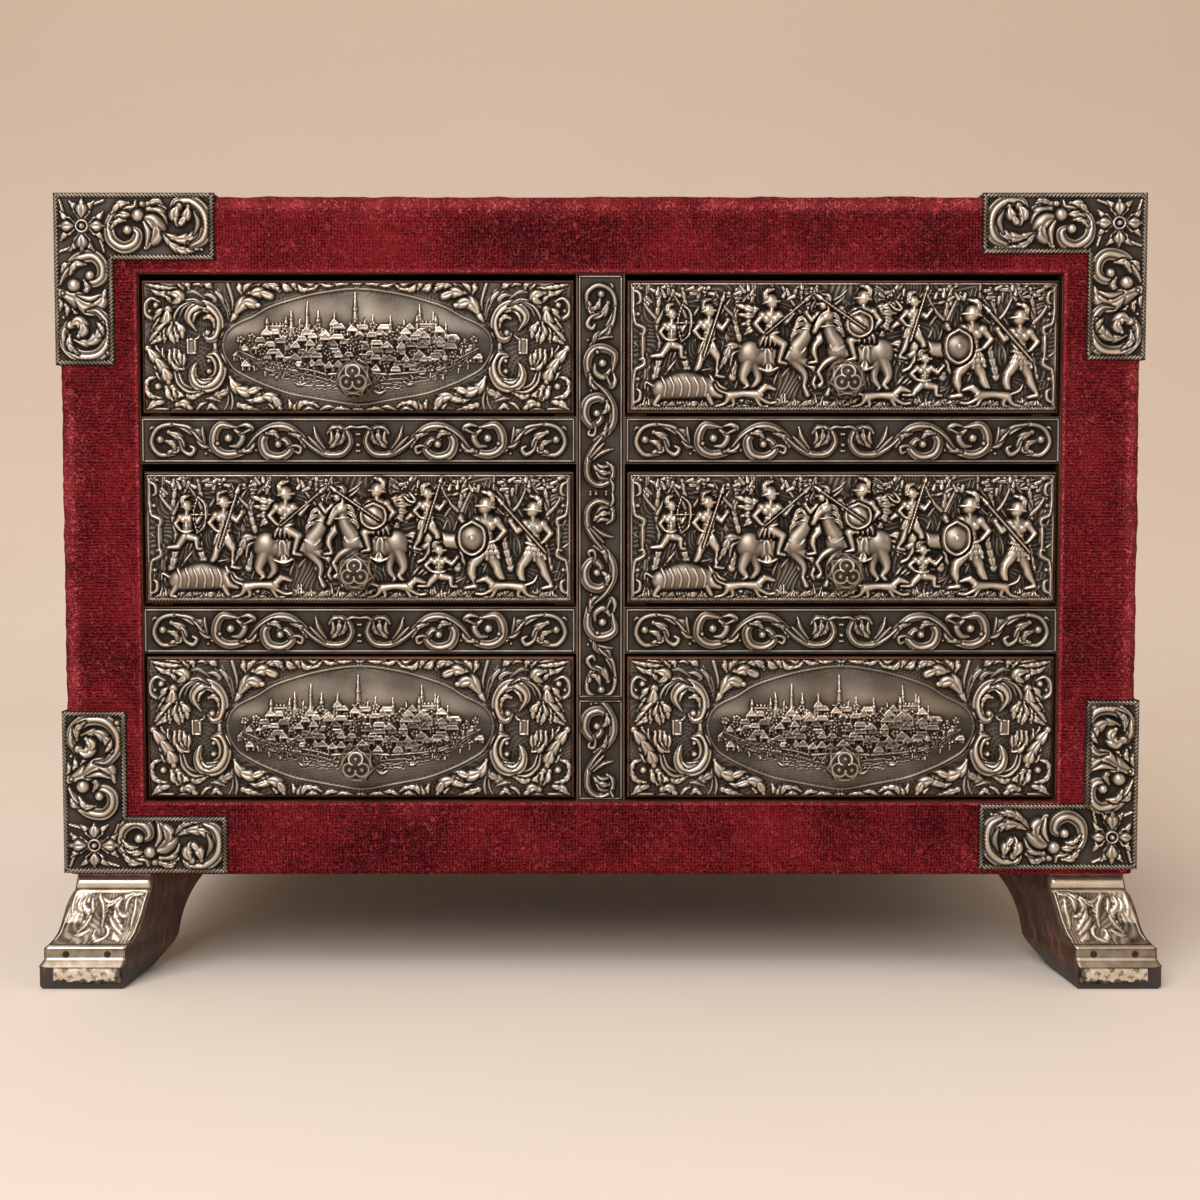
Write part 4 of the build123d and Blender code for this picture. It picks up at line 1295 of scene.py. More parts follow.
    def tree(self, sheet: Relief, chance: np.random.Generator, x: float, z: float) -> None:
        """Works a round-headed tree."""
        sheet.stroke([(x, z - 0.9), (x + 0.2, z + 1.2)], [0.55, 0.4], 1.0)
        for turn in np.arange(5) * 1.26 + chance.uniform(0, 1):
            place = (x + 0.2 + 0.7 * math.cos(turn), z + 1.9 + 0.65 * math.sin(turn))
            sheet.bead(place, chance.uniform(0.45, 0.75), chance.uniform(1.1, 1.5))

    def house(
        self,
        sheet: Relief,
        x: float,
        z: float,
        wide: float,
        tall: float,
        height: float,
        turned: bool,
    ) -> None:
        """Works one gabled house: a wall with an opening and a bright roof.

        Args:
            sheet: the sheet.
            x: its middle.
            z: its foot.
            wide: its width.
            tall: the height of its wall.
            height: how far it stands out.
            turned: whether its long side shows.
        """
        left, right, eaves = x - wide / 2, x + wide / 2, z + tall * 0.58
        lean = 0.25 * math.sin(5 * x)
        sheet.slab([(left, z), (right, z), (right, eaves), (left, eaves)], height * 0.6)
        if turned:
            ridge = [(left - 0.3, eaves), (right + 0.3, eaves), (right - 0.4 + lean, eaves + 1.2),
                     (left + 0.4 + lean, eaves + 1.2)]
        else:
            ridge = [(left - 0.3, eaves), (right + 0.3, eaves), (x + lean, eaves + 1.8)]
        sheet.slab(ridge, height)
        moat, sheet.moat = sheet.moat, 0.0
        sheet.bars([*ridge, ridge[0]], 0.5, height + 0.3)
        for edge in (left, right):
            sheet.bars([(edge, z), (edge, eaves)], 0.45, height + 0.1)
        sheet.moat = moat
        sheet.stroke([(x, z + 0.2), (x, z + 0.3 * tall)], [0.35, 0.5], 0.25)

    def spire(self, sheet: Relief, x: float, base: float, tall: float, wide: float) -> None:
        """Works a church tower with a belfry and a long spire."""
        shaft = base + 0.36 * tall
        sheet.slab([(x - wide / 2, base - 2), (x + wide / 2, base - 2), (x + wide / 2, shaft),
                    (x - wide / 2, shaft)], 1.0)
        moat, sheet.moat = sheet.moat, 0.0
        for side in (-1, 1):
            edge = x + side * wide / 2
            sheet.bars([(edge, base - 2), (edge, shaft)], 0.45, 1.4)
        sheet.bars([(x - 0.7 * wide, shaft), (x + 0.7 * wide, shaft)], 0.5, 1.6)
        sheet.stroke([(x, shaft), (x, base + 0.6 * tall), (x, base + tall)],
                     [wide * 0.8, wide * 0.55, 0.22], 1.5, 0.2)
        sheet.bead((x, base + 0.66 * tall), 0.36 * wide, 1.7)
        sheet.moat = moat

    def castle(self, sheet: Relief, x: float, base: float) -> None:
        """Works a walled keep with battlements and two corner towers."""
        sheet.slab([(x - 2.6, base - 2), (x + 2.6, base - 2), (x + 2.6, base + 1.7),
                    (x - 2.6, base + 1.7)], 0.8)
        for place in np.arange(x - 2.2, x + 2.4, 1.1):
            sheet.bars([(place, base + 1.7), (place, base + 2.3)], 0.65, 1.2)
        sheet.bars([(x - 2.7, base + 1.6), (x + 2.7, base + 1.6)], 0.5, 1.3)
        for place in (x - 2.8, x + 2.8):
            sheet.bars([(place, base - 1.5), (place, base + 2.7)], 1.2, 1.35)
            sheet.stroke([(place, base + 2.7), (place, base + 4.4)], [1.4, 0.25], 1.45)

    def shore(self, sheet: Relief, chance: np.random.Generator) -> None:
        """Works the river bank, the bridge, fields, boats and trees below the town."""
        for drop, wide in ((0.0, 0.7), (1.5, 0.5), (2.7, 0.4)):
            bank = [
                (-35, -1.4 - drop * 0.4), (-26, -5.0 - drop), (-14, -7.0 - drop),
                (-4, -9.3 - drop), (10, -8.2 - drop), (23, -6.6 - drop),
                (36, -0.6 - drop * 0.4),
            ]
            sheet.stroke(bank, [wide] * 7, 1.25 - 0.15 * drop)
        for x in np.arange(-7, 8, 2.8):
            sheet.stroke([(x - 1.3, -9.9), (x, -8.5), (x + 1.3, -9.9)], [0.5, 0.7, 0.5], 1.2)
        sheet.stroke([(-8.6, -8.2), (0, -7.7), (8.6, -8.2)], [0.8] * 3, 1.5)
        for x, z in ((-17, -10.9), (15.5, -10.6), (6.5, -13.2)):
            hull = [(x - 1.9, z + 0.3), (x, z - 0.6), (x + 1.9, z + 0.3)]
            sheet.stroke(hull, [0.4, 1.1, 0.4], 1.3)
            sheet.stroke([(x, z), (x, z + 2.4)], [0.35, 0.25], 1.2)
            sail = [(x + 0.1, z + 2.2), (x + 1.0, z + 1.2), (x + 0.1, z + 0.6)]
            sheet.stroke(sail, [0.3, 0.8, 0.3], 1.1)
        for _ in range(34):
            x = chance.uniform(-27, 27)
            z = chance.uniform(-14.2, -11.4) + 0.0085 * x**2
            reach = chance.uniform(1.0, 2.6)
            sheet.stroke([(x - reach, z), (x, z + 0.3), (x + reach, z)], [0.25, 0.42, 0.25], 0.78)
        for x in np.arange(-33, -19, 1.5):
            root = np.array((x, -0.1 * abs(x + 34) - 3.4))
            sheet.stroke([root, root + (1.6, -1.9)], [0.45, 0.3], 0.95)
            root[0] = -x
            sheet.stroke([root, root + (-1.8, -1.5)], [0.45, 0.3], 0.95)
        for x, z in (
            (-32, -0.9), (-28.6, -3.6), (-35, 0.2), (31.6, -1.4), (34.6, 0.2), (28.0, -4.4),
            (-22, -8.0), (21.6, -8.4),
        ):
            self.tree(sheet, chance, x, z)


HORSE: tuple[Mark, ...] = (
    Stroke(((-7, 0.4), (-2.5, -0.1), (2.5, 0.3), (6.4, 1.5)), (5.8, 5.0, 5.3, 4.8), 2.3),
    Bead((-6.4, 0.7), 3.3, 2.6),
    Bead((5.7, 1.0), 3.0, 2.6),
    Stroke(((6.0, 2.0), (8.0, 4.6), (8.9, 7.2)), (4.9, 3.8, 3.0), 2.5),
    Stroke(((8.8, 7.9), (10.8, 6.9), (12.6, 4.9)), (3.2, 2.4, 1.7), 2.8),
    Bead((9.4, 7.7), 1.5, 2.9),
    Stroke(((8.6, 8.8), (8.8, 10.6)), (1.1, 0.4), 2.4),
    *(
        Stroke(
            (
                (8.1 - 0.7 * k, 8.6 - 1.5 * k), (6.4 - 0.7 * k, 8.0 - 1.5 * k),
                (5.2 - 0.5 * k, 6.6 - 1.5 * k),
            ),
            (0.9, 1.3, 0.4), 2.5, 0.4,
        )
        for k in range(3)
    ),
    Stroke(((6.4, -0.4), (9.4, -1.6), (11.4, -3.4)), (2.9, 2.0, 1.4), 2.2),
    Stroke(((11.4, -3.4), (10.2, -5.4), (11.0, -6.2)), (1.3, 1.1, 1.5), 2.1),
    Stroke(((5.2, -0.8), (8.0, -3.6), (7.8, -6.2)), (2.8, 1.8, 1.2), 1.9),
    Stroke(((7.8, -6.2), (8.8, -7.9)), (1.1, 1.5), 1.9),
    Stroke(((-6.8, -0.8), (-8.4, -4.0), (-7.2, -6.0)), (4.1, 2.6, 1.5), 2.3),
    Stroke(((-7.2, -6.0), (-9.6, -8.3), (-8.8, -9.0)), (1.3, 1.2, 1.5), 2.1),
    Stroke(((-5.4, -1.2), (-4.4, -4.4), (-6.0, -6.6)), (3.4, 2.2, 1.3), 1.9),
    Stroke(((-6.0, -6.6), (-5.2, -8.6)), (1.2, 1.5), 1.9),
    Stroke(((-9.2, 2.3), (-11.8, 2.2), (-13.2, -0.3), (-14.6, -2.4)), (1.2, 2.6, 2.2, 0.6), 2.0,
           0.45),
    Stroke(((-9.6, 1.4), (-11.2, 0.6), (-11.8, -1.8)), (0.8, 1.4, 0.5), 1.8, 0.4),
    Stroke(((-2.2, 2.4), (-1.6, -2.2)), (4.0, 4.4), 2.75, 0.2),
    Stroke(((-4.1, -2.4), (-1.6, -3.0), (0.8, -2.2)), (0.8, 0.9, 0.8), 2.95),
    Stroke(((2.4, 2.9), (6.4, 0.7), (8.2, 1.9)), (0.6, 0.6, 0.6), 3.0),
    Stroke(((7.0, 6.0), (10.7, 5.8)), (0.5, 0.5), 3.1),
    Stroke(((9.0, 9.0), (10.9, 8.1), (12.6, 5.9)), (0.5, 0.5, 0.4), 3.1),
)
ARMS_AND_HEAD: tuple[Mark, ...] = (
    band(2.5, 0, (0.2, 4.4, 1.5), (0.3, 5.4, 1.4)),
    Bead((0.4, 6.5), 1.4, 2.9),
    Bead((0.1, 7.1), 1.6, 3.1),
    band(3.3, 0, (-1.4, 6.6, 0.6), (0.2, 6.9, 0.7), (2.1, 6.9, 0.5)),
    band(2.8, 0.4, (-1.2, 7.2, 0.9), (-0.9, 8.9, 1.5), (0.8, 9.5, 0.6)),
    Bead((-1.7, 4), 1.15, 2.8),
    Bead((1.8, 4.1), 1.15, 2.9),
    band(2.9, 0, (1.9, 4, 1.9), (3.5, 2.7, 1.5)),
    band(3, 0, (3.5, 2.7, 1.5), (4.8, 4.4, 1.1)),
    Bead((4.9, 4.7), 0.75, 3.1),
    band(2.6, 0, (-1.8, 3.9, 1.8), (-3.3, 2.3, 1.4)),
    band(2.7, 0, (-3.3, 2.3, 1.4), (-2, 0.8, 1.1)),
    band(3.1, 0, (2.6, 3.2, 0.4), (3.2, 3.8, 0.4)),
)
BREAST: tuple[Mark, ...] = (
    band(2.5, 0, (0, 0.4, 3.1), (0.35, 2.2, 3.4), (0.1, 3.7, 4.3)),
    Bead((-0.75, 3.3), 1.25, 2.85),
    Bead((1.05, 3.3), 1.25, 2.85),
    band(2.85, 0, (0.2, 2.6, 0.35), (0.15, 0.9, 0.35)),
    band(2.8, 0, (-0.9, 1.9, 0.3), (0.2, 1.6, 0.35), (1.2, 1.9, 0.3)),
    band(3, 0, (-1.6, 0.5, 0.8), (0, 0.1, 0.9), (1.7, 0.5, 0.8)),
)
RIDER: tuple[Mark, ...] = (
    *(replace(mark, height=mark.height + 0.5) for mark in BREAST),
    *(
        Stroke(((0.5 * k, 0.2), (0.9 * k, -1.1), (1.1 * k, -2.2)), (1.0, 1.3, 0.8), 3.0, 0.4)
        for k in (-2, -1, 0, 1)
    ),
    Stroke(((0.6, -0.6), (3.0, -2.0)), (2.5, 2.1), 3.1),
    Stroke(((3.0, -2.0), (2.0, -5.4)), (1.9, 1.2), 3.0),
    Stroke(((2.0, -5.6), (3.6, -6.0)), (1.2, 0.8), 3.0),
    *(replace(mark, height=mark.height + 0.5) for mark in ARMS_AND_HEAD),
)
CLOAK: tuple[Mark, ...] = tuple(
    Stroke(((-1.2, 4.0 - 0.9 * k), (-4.6, 4.6 - 1.5 * k), (-8.6 + 0.8 * k, 5.6 - 2.2 * k)),
           (1.2, 2.6, 0.8), 2.3 - 0.1 * k, 0.5)
    for k in range(4)
)
HUNTER: tuple[Mark, ...] = (
    Stroke(((-0.4, -1.6), (-1.7, -4.1)), (2.8, 2.1), 2.2),
    Stroke(((-1.7, -4.1), (-2.2, -5.6), (-3.4, -7.5)), (1.8, 1.9, 1.0), 2.1),
    Stroke(((-3.4, -7.9), (-1.6, -8.3)), (1.2, 0.8), 2.1),
    Stroke(((0.9, -1.6), (2.7, -3.9)), (2.9, 2.2), 2.6),
    Stroke(((2.7, -3.9), (2.9, -5.4), (2.2, -7.4)), (1.9, 2.0, 1.0), 2.5),
    Stroke(((2.2, -7.9), (4.1, -8.2)), (1.2, 0.8), 2.5),
    *BREAST,
    *(
        Stroke(((0.45 * k, 0.2), (0.85 * k, -1.3), (1.1 * k, -2.9 + 0.15 * abs(k))),
               (1.0, 1.4, 0.9), 2.9 - 0.08 * abs(k), 0.4)
        for k in (-2, 2, -1, 1, 0)
    ),
    *ARMS_AND_HEAD,
)
KNEELING: tuple[Mark, ...] = (
    Stroke(((-0.6, -1.0), (-2.6, -3.4)), (2.8, 2.0), 2.3),
    Stroke(((-2.6, -3.6), (-6.0, -3.9)), (1.9, 1.1), 2.2),
    Stroke(((0.8, -1.0), (3.2, -1.6)), (2.8, 2.0), 2.6),
    Stroke(((3.2, -1.6), (3.4, -4.0), (4.8, -4.2)), (1.9, 1.2, 0.8), 2.5),
    *BREAST,
    *ARMS_AND_HEAD,
)
BOW: tuple[Mark, ...] = (
    band(3, 0, (3.6, 9.4, 0.4), (5.9, 7.6, 0.8), (6.4, 4.6, 0.9), (5.7, 1.6, 0.8),
         (3.4, -0.2, 0.4)),
    band(2.9, 0, (3.6, 9.4, 0.25), (2.2, 4.6, 0.3), (3.4, -0.2, 0.25)),
    band(3.1, 0, (1.6, 4.6, 0.35), (9, 4.8, 0.35)),
)
SPEAR: tuple[Mark, ...] = (
    band(3, 0, (-4.6, -2.6, 0.6), (7.6, 9, 0.6)),
    band(3, 0.4, (7.4, 8.8, 1.6), (9, 10.4, 0.3)),
)
HOUND: tuple[Mark, ...] = (
    band(2.2, 0, (-3.6, 0, 2.6), (-0.6, 0.5, 1.9), (2.8, 0.3, 2.8)),
    band(2.4, 0, (3, 0.9, 2.1), (4.4, 2.2, 1.9), (6.4, 1.6, 0.9)),
    band(2.6, 0, (4.2, 2.7, 1), (3.4, 1.4, 0.5)),
    band(2, 0, (2.8, -0.4, 1.4), (5, -1.7, 0.9), (6.6, -1.6, 0.8)),
    band(1.8, 0, (2.2, -0.6, 1.3), (3.4, -2.6, 0.9), (4.8, -2.8, 0.8)),
    band(2, 0, (-3.8, -0.4, 2), (-4.8, -1.9, 1), (-6.8, -2.7, 0.8)),
    band(1.8, 0, (-3, -0.6, 1.7), (-2.8, -2.2, 1), (-4.4, -3, 0.8)),
    band(1.8, 0, (-4.4, 0.6, 0.9), (-6.2, 1.5, 0.8), (-7, 3.1, 0.4)),
    band(2.6, 0, (2.6, 1.2, 0.5), (3.6, 0.2, 0.5)),
)
STAG: tuple[Mark, ...] = (
    band(2.4, 0, (-5, 0.2, 4.5), (-1, 0, 3.8), (3.6, 0.8, 4.5)),
    band(2.5, 0, (4.2, 1.6, 3.1), (5.8, 4.2, 2.3), (6.2, 6, 2)),
    band(2.8, 0, (6.2, 6.5, 2.3), (7.8, 6, 1.8), (9.2, 5, 1.1)),
    band(2.4, 0, (6, 7, 0.9), (5, 9.2, 0.8), (5.6, 11.6, 0.4)),
    band(2.3, 0, (5.2, 8.7, 0.7), (3.6, 9.6, 0.7), (3.2, 11, 0.4)),
    band(2.4, 0, (6.3, 7.1, 0.9), (7.2, 9.2, 0.8), (8.6, 10.8, 0.4)),
    band(2.3, 0, (6.8, 8.5, 0.7), (8.6, 8.9, 0.7), (9.8, 9.9, 0.4)),
    band(2.2, 0, (4, -0.6, 2), (6.8, -2, 1.3), (8.4, -1.2, 1)),
    band(2, 0, (3.4, -0.8, 1.9), (4.8, -3.6, 1.2), (6.6, -4.6, 1)),
    band(2.2, 0, (-5.2, -0.8, 2.8), (-6.4, -3.4, 1.5), (-8.8, -5, 1)),
    band(2, 0, (-4.2, -1, 2.4), (-4, -3.8, 1.4), (-5.6, -5.8, 1)),
)
BOAR: tuple[Mark, ...] = (
    Stroke(((-6.0, -0.2), (-1.0, 0.7), (4.4, 0.0)), (4.8, 6.2, 4.6), 2.5),
    Stroke(((5.0, -0.4), (7.6, -1.3), (9.0, -1.8)), (3.8, 2.4, 1.5), 2.7),
    Stroke(((7.2, -1.7), (7.9, -0.4)), (0.5, 0.3), 3.0),
    Stroke(((4.8, 1.4), (4.0, 3.0)), (1.3, 0.5), 2.7),
    Stroke(((-6.5, -1.6), (-7.6, -3.6), (-6.6, -4.0)), (1.8, 1.1, 0.9), 2.1),
    Stroke(((3.6, -1.6), (4.6, -3.6), (5.8, -3.8)), (1.8, 1.1, 0.9), 2.2),
    Stroke(((-8.0, 0.6), (-9.4, 1.4), (-9.6, 0.0)), (0.7, 0.5, 0.4), 2.0),
    *(
        Stroke(((x - 0.3, 2.5), (x + 0.5, 0.4), (x + 0.2, -1.8)), (0.6, 1.0, 0.5), 3.0)
        for x in (-5.8, -4.1, -2.4, -0.7, 1.0, 2.7)
    ),
)
SHIELD: tuple[Mark, ...] = (
    Bead((0.0, 0.0), 2.7, 3.2),
    Stroke(((0, 2.6), (2.25, 1.3), (2.25, -1.3), (0, -2.6), (-2.25, -1.3), (-2.25, 1.3), (0, 2.6)),
           (0.7,) * 7, 3.4),
    Bead((0.0, 0.0), 1.0, 3.8),
)
SIDE_STRAP: tuple[Mark, ...] = (
    band(1.5, 0.35, (1, 17.4, 0.9), (1, 12.2, 1.1), (1.7, 7.2, 1.1), (3, 6.2, 1.3),
         (4.4, 5.4, 1.4), (4.2, 3.7, 1.2), (3, 3.9, 0.6)),
    band(1.5, 0.4, (4, 4.4, 0.9), (4, 1, 1.5), (4, -3, 0.9)),
    band(1.5, 0.35, (1, -17.4, 0.9), (1, -12.2, 1.1), (1.7, -7.2, 1.1), (3, -6.2, 1.3),
         (4.4, -5.2, 1.4), (4.2, -3.6, 1.2), (3, -3.8, 0.6)),
    band(1.4, 0, (1.6, 16.6, 0.6), (3, 15.6, 1.1), (3.2, 13.4, 1), (2.2, 12.6, 0.5)),
    band(1.4, 0, (1.6, -16.6, 0.6), (3, -15.6, 1.1), (3.2, -13.4, 1), (2.2, -12.6, 0.5)),
    Bead((2.6, 9.6), 0.6, 1.3),
    Bead((2.6, -9.6), 0.6, 1.3),
)


@dataclass
class HuntDesign:
    """A frieze of riders, hunters on foot, hounds and game under trees, between straps."""

    seed: int = 5

    def work(self, sheet: Relief, tall: float) -> None:
        """Works the design into a sheet.

        Args:
            sheet: the flat sheet.
            tall: the panel's height against the one the design was drawn for.
        """
        chance = np.random.default_rng(self.seed)
        edge = sheet.across[-1]
        self.wood(sheet, chance)
        for marks, at, size in (
            (KNEELING, (-51.5, 1.6), (0.95, 1.15)),
            (BOW, (-51.5, 1.6), (0.95, 1.15)),
            (HUNTER, (-40.5, 1.6), (1.2, 1.3)),
            (SPEAR, (-39.5, 1.0), (0.45, 1.45)),
            (BOAR, (-45.5, -12.4), (1.42, 1.3)),
            (CLOAK, (-22.5, 5.0), (1.1, 1.3)),
            (HORSE, (-20.5, -3.2), (1.12, 1.4)),
            (RIDER, (-22.0, 3.4), (1.35, 1.42)),
            (SPEAR, (-18.5, 6.0), (1.0, 0.9)),
            (HUNTER, (-5.6, 4.6), (-1.15, 1.15)),
            (HOUND, (-29.0, -14.6), (1.35, 1.2)),
            (CLOAK, (7.0, 6.0), (-1.2, 1.25)),
            (HORSE, (4.4, -2.6), (-1.05, 1.45)),
            (RIDER, (6.0, 4.4), (-1.4, 1.42)),
            (SHIELD, (4.6, 6.6), (1.45, 1.45)),
            (SPEAR, (1.2, 7.2), (-1.1, 0.8)),
            (STAG, (26.0, -1.0), (-1.25, 1.35)),
            (HUNTER, (20.4, 5.6), (1.1, 1.1)),
            (SPEAR, (21.6, 5.0), (0.4, 1.35)),
            (KNEELING, (23.8, -10.4), (1.15, 0.98)),
            (HUNTER, (38.4, -1.6), (-1.6, 1.62)),
            (SHIELD, (34.0, 0.0), (1.5, 1.9)),
            (HUNTER, (52.6, -2.2), (-1.45, 1.55)),
            (SPEAR, (51.0, -1.0), (-1.1, 1.3)),
            (HOUND, (44.0, -14.8), (-1.35, 1.15)),
            (HOUND, (11.4, -15.0), (1.3, 1.1)),
        ):
            sheet.overlay(marks, (at[0], at[1] * tall), size)
        for side in (-1, 1):
            sheet.overlay(SIDE_STRAP, (side * -edge, 0.0), (side * 1.0, tall), wide=1.25)
        self.edges(sheet)

    def wood(self, sheet: Relief, chance: np.random.Generator) -> None:
        """Works the trees, banks, grass and broken ground behind the figures."""
        low, high = sheet.up[0], sheet.up[-1]
        sheet.hatch(chased=0.34, pitch=1.1, waves=6.5)
        for _ in range(210):
            place = np.array((chance.uniform(-60, 60), chance.uniform(low + 3, high - 1)))
            path = [place]
            for _ in range(5):
                turn = 1.35 + 0.75 * math.sin(place[0] / 5.5) + 0.55 * math.sin(place[1] / 4 + 0.7)
                way = np.array((math.cos(turn), math.sin(turn)))
                place = place + way * chance.uniform(0.9, 1.7)
                path.append(place)
            girth = chance.uniform(0.7, 1.25)
            widths = [0.3, girth, girth, 0.8 * girth, 0.5, 0.25]
            sheet.stroke(path, widths, chance.uniform(0.7, 1.15))
        for x, lean in (
            (-56, 1.5), (-46, -2.0), (-33, 2.2), (-12, 2.4), (13.0, -2.2), (29.5, 2.4),
            (45.5, -2.0), (57, -1.6),
        ):
            trunk = [(x, -9), (x + lean, 0), (x + 0.3 * lean, 8), (x + lean, high - 2)]
            sheet.stroke(trunk, [3.0, 2.3, 2.0, 1.5], 1.5, 0.4)
            for side in (-1, 1):
                fork = chance.uniform(6, 9)
                bough = (x + side * 2.4, fork + 3.4), (x + side * 5.2, high - 3)
                sheet.stroke([(x + 0.4 * lean, fork), *bough], [1.3, 1.0, 0.5], 1.4, 0.3)
            for _ in range(13):
                start = np.array((x + chance.uniform(-6.5, 6.5), high - chance.uniform(1.4, 5.4)))
                turn = chance.uniform(0, 2 * math.pi)
                reach = np.array((math.cos(turn), math.sin(turn))) * chance.uniform(1.4, 2.3)
                height = chance.uniform(1.3, 2.0)
                sheet.stroke([start, start + reach], [1.3, 0.8], height, 0.4)
        for x in np.arange(-58, 59, 4.4):
            rise = low + chance.uniform(1.6, 3.0)
            mound = [(x - 3.4, rise - 0.7), (x, rise + 0.4), (x + 3.4, rise - 0.7)]
            sheet.stroke(mound, [1.0, 2.6, 1.0], chance.uniform(1.1, 1.5), 0.3)
            for _ in range(3):
                root = np.array((x + chance.uniform(-2, 2), rise))
                blade = root + (chance.uniform(-0.8, 0.8), chance.uniform(1.4, 2.8))
                sheet.stroke([root, blade], [0.8, 0.25], chance.uniform(1.1, 1.5))

    def edges(self, sheet: Relief) -> None:
        """Works the rope below, the plain line above and the lines at the ends."""
        left, right = sheet.across[0] + 0.7, sheet.across[-1] - 0.7
        low, high = sheet.up[0] + 0.65, sheet.up[-1] - 0.5
        sheet.rope([(left, low), (right, low)], 0.8, 1.0, 0.95)
        sheet.bars([(left, high), (right, high)], 0.5, 0.9)
        for x in (left, right):
            sheet.bars([(x, low), (x, high)], 0.5, 0.8)


# ------------------------------------------------------------------ silver on the front
@dataclass
class PlateWork:
    """How a flat chased plate is cut: its cells, its rim and its thickness."""

    cell: float = 0.29
    rim: float = 0.45
    thickness: float = 0.7
    polish: float = 1.0

    def rounded(self, sheet: Relief) -> np.ndarray:
        """Rounds the sheet off at its rim.

        Args:
            sheet: the sheet.

        Returns:
            Its heights with the rim turned back.
        """
        x, z = sheet.across[:, None], sheet.up[None, :]
        inset = np.minimum(
            np.minimum(x - sheet.across[0], sheet.across[-1] - x),
            np.minimum(z - sheet.up[0], sheet.up[-1] - z),
        )
        drop = np.clip(1 - inset / self.rim, 0, 1)
        fade = np.clip(inset / 0.5, 0, 1)
        return sheet.height * fade - self.rim * (1 - np.sqrt(1 - drop**2))

    def plate(self, sheet: Relief, at: Point, face_y: float) -> bmesh.types.BMesh:
        """Makes a flat plate that faces the front.

        Args:
            sheet: its relief, about the plate's middle.
            at: where its middle goes, across and up.
            face_y: where its plain face lies.

        Returns:
            The plate.
        """
        x, z = np.meshgrid(sheet.across + at[0], sheet.up + at[1], indexing="ij")
        return self.cut(sheet, x, z, self.rounded(sheet), face_y)

    def cut(
        self,
        sheet: Relief,
        x: np.ndarray,
        z: np.ndarray,
        height: np.ndarray,
        face_y: float,
        keep: np.ndarray | None = None,
    ) -> bmesh.types.BMesh:
        """Cuts a plate with relief in front and a flat back.

        Args:
            sheet: its relief, for its wear.
            x: where each crossing lies, across.
            z: the same, up.
            height: how far each stands out.
            face_y: where its plain face lies.
            keep: which cells stay.

        Returns:
            The plate.
        """
        places = np.stack([x, face_y - height, z], axis=2)
        backs = np.stack([x, np.full_like(x, face_y + self.thickness), z], axis=2)
        return chased_sheet(places, backs, self.polish * sheet.wear(self.cell), keep)


@dataclass
class DrawerSilver(PlateWork):
    """The embossed plaque on a drawer front."""

    drawn_height: float = 38.2

    def plaque(self, name: str, panel: Panel, silver: bpy.types.Material) -> None:
        """Builds a drawer's plaque on the place of its plain one.

        Args:
            name: the drawer's row and column.
            panel: its design.
            silver: its finish.
        """
        node = f"{name}_plaque"
        low, high = box_mm(node)
        half = (high - low) / 2
        middle = (high + low) / 2
        sheet = blank(half[0], half[2], self.cell)
        tall = 2 * half[2] / self.drawn_height
        design = TownDesign() if panel is Panel.TOWN else HuntDesign()
        design.work(sheet, tall)
        face_y = high[1] - self.thickness
        plate = self.plate(sheet, (middle[0], middle[2]), face_y)
        finish_piece(
            f"{name}_embossed_plaque", f"{name}_drawer", plate, silver, [node]
        )


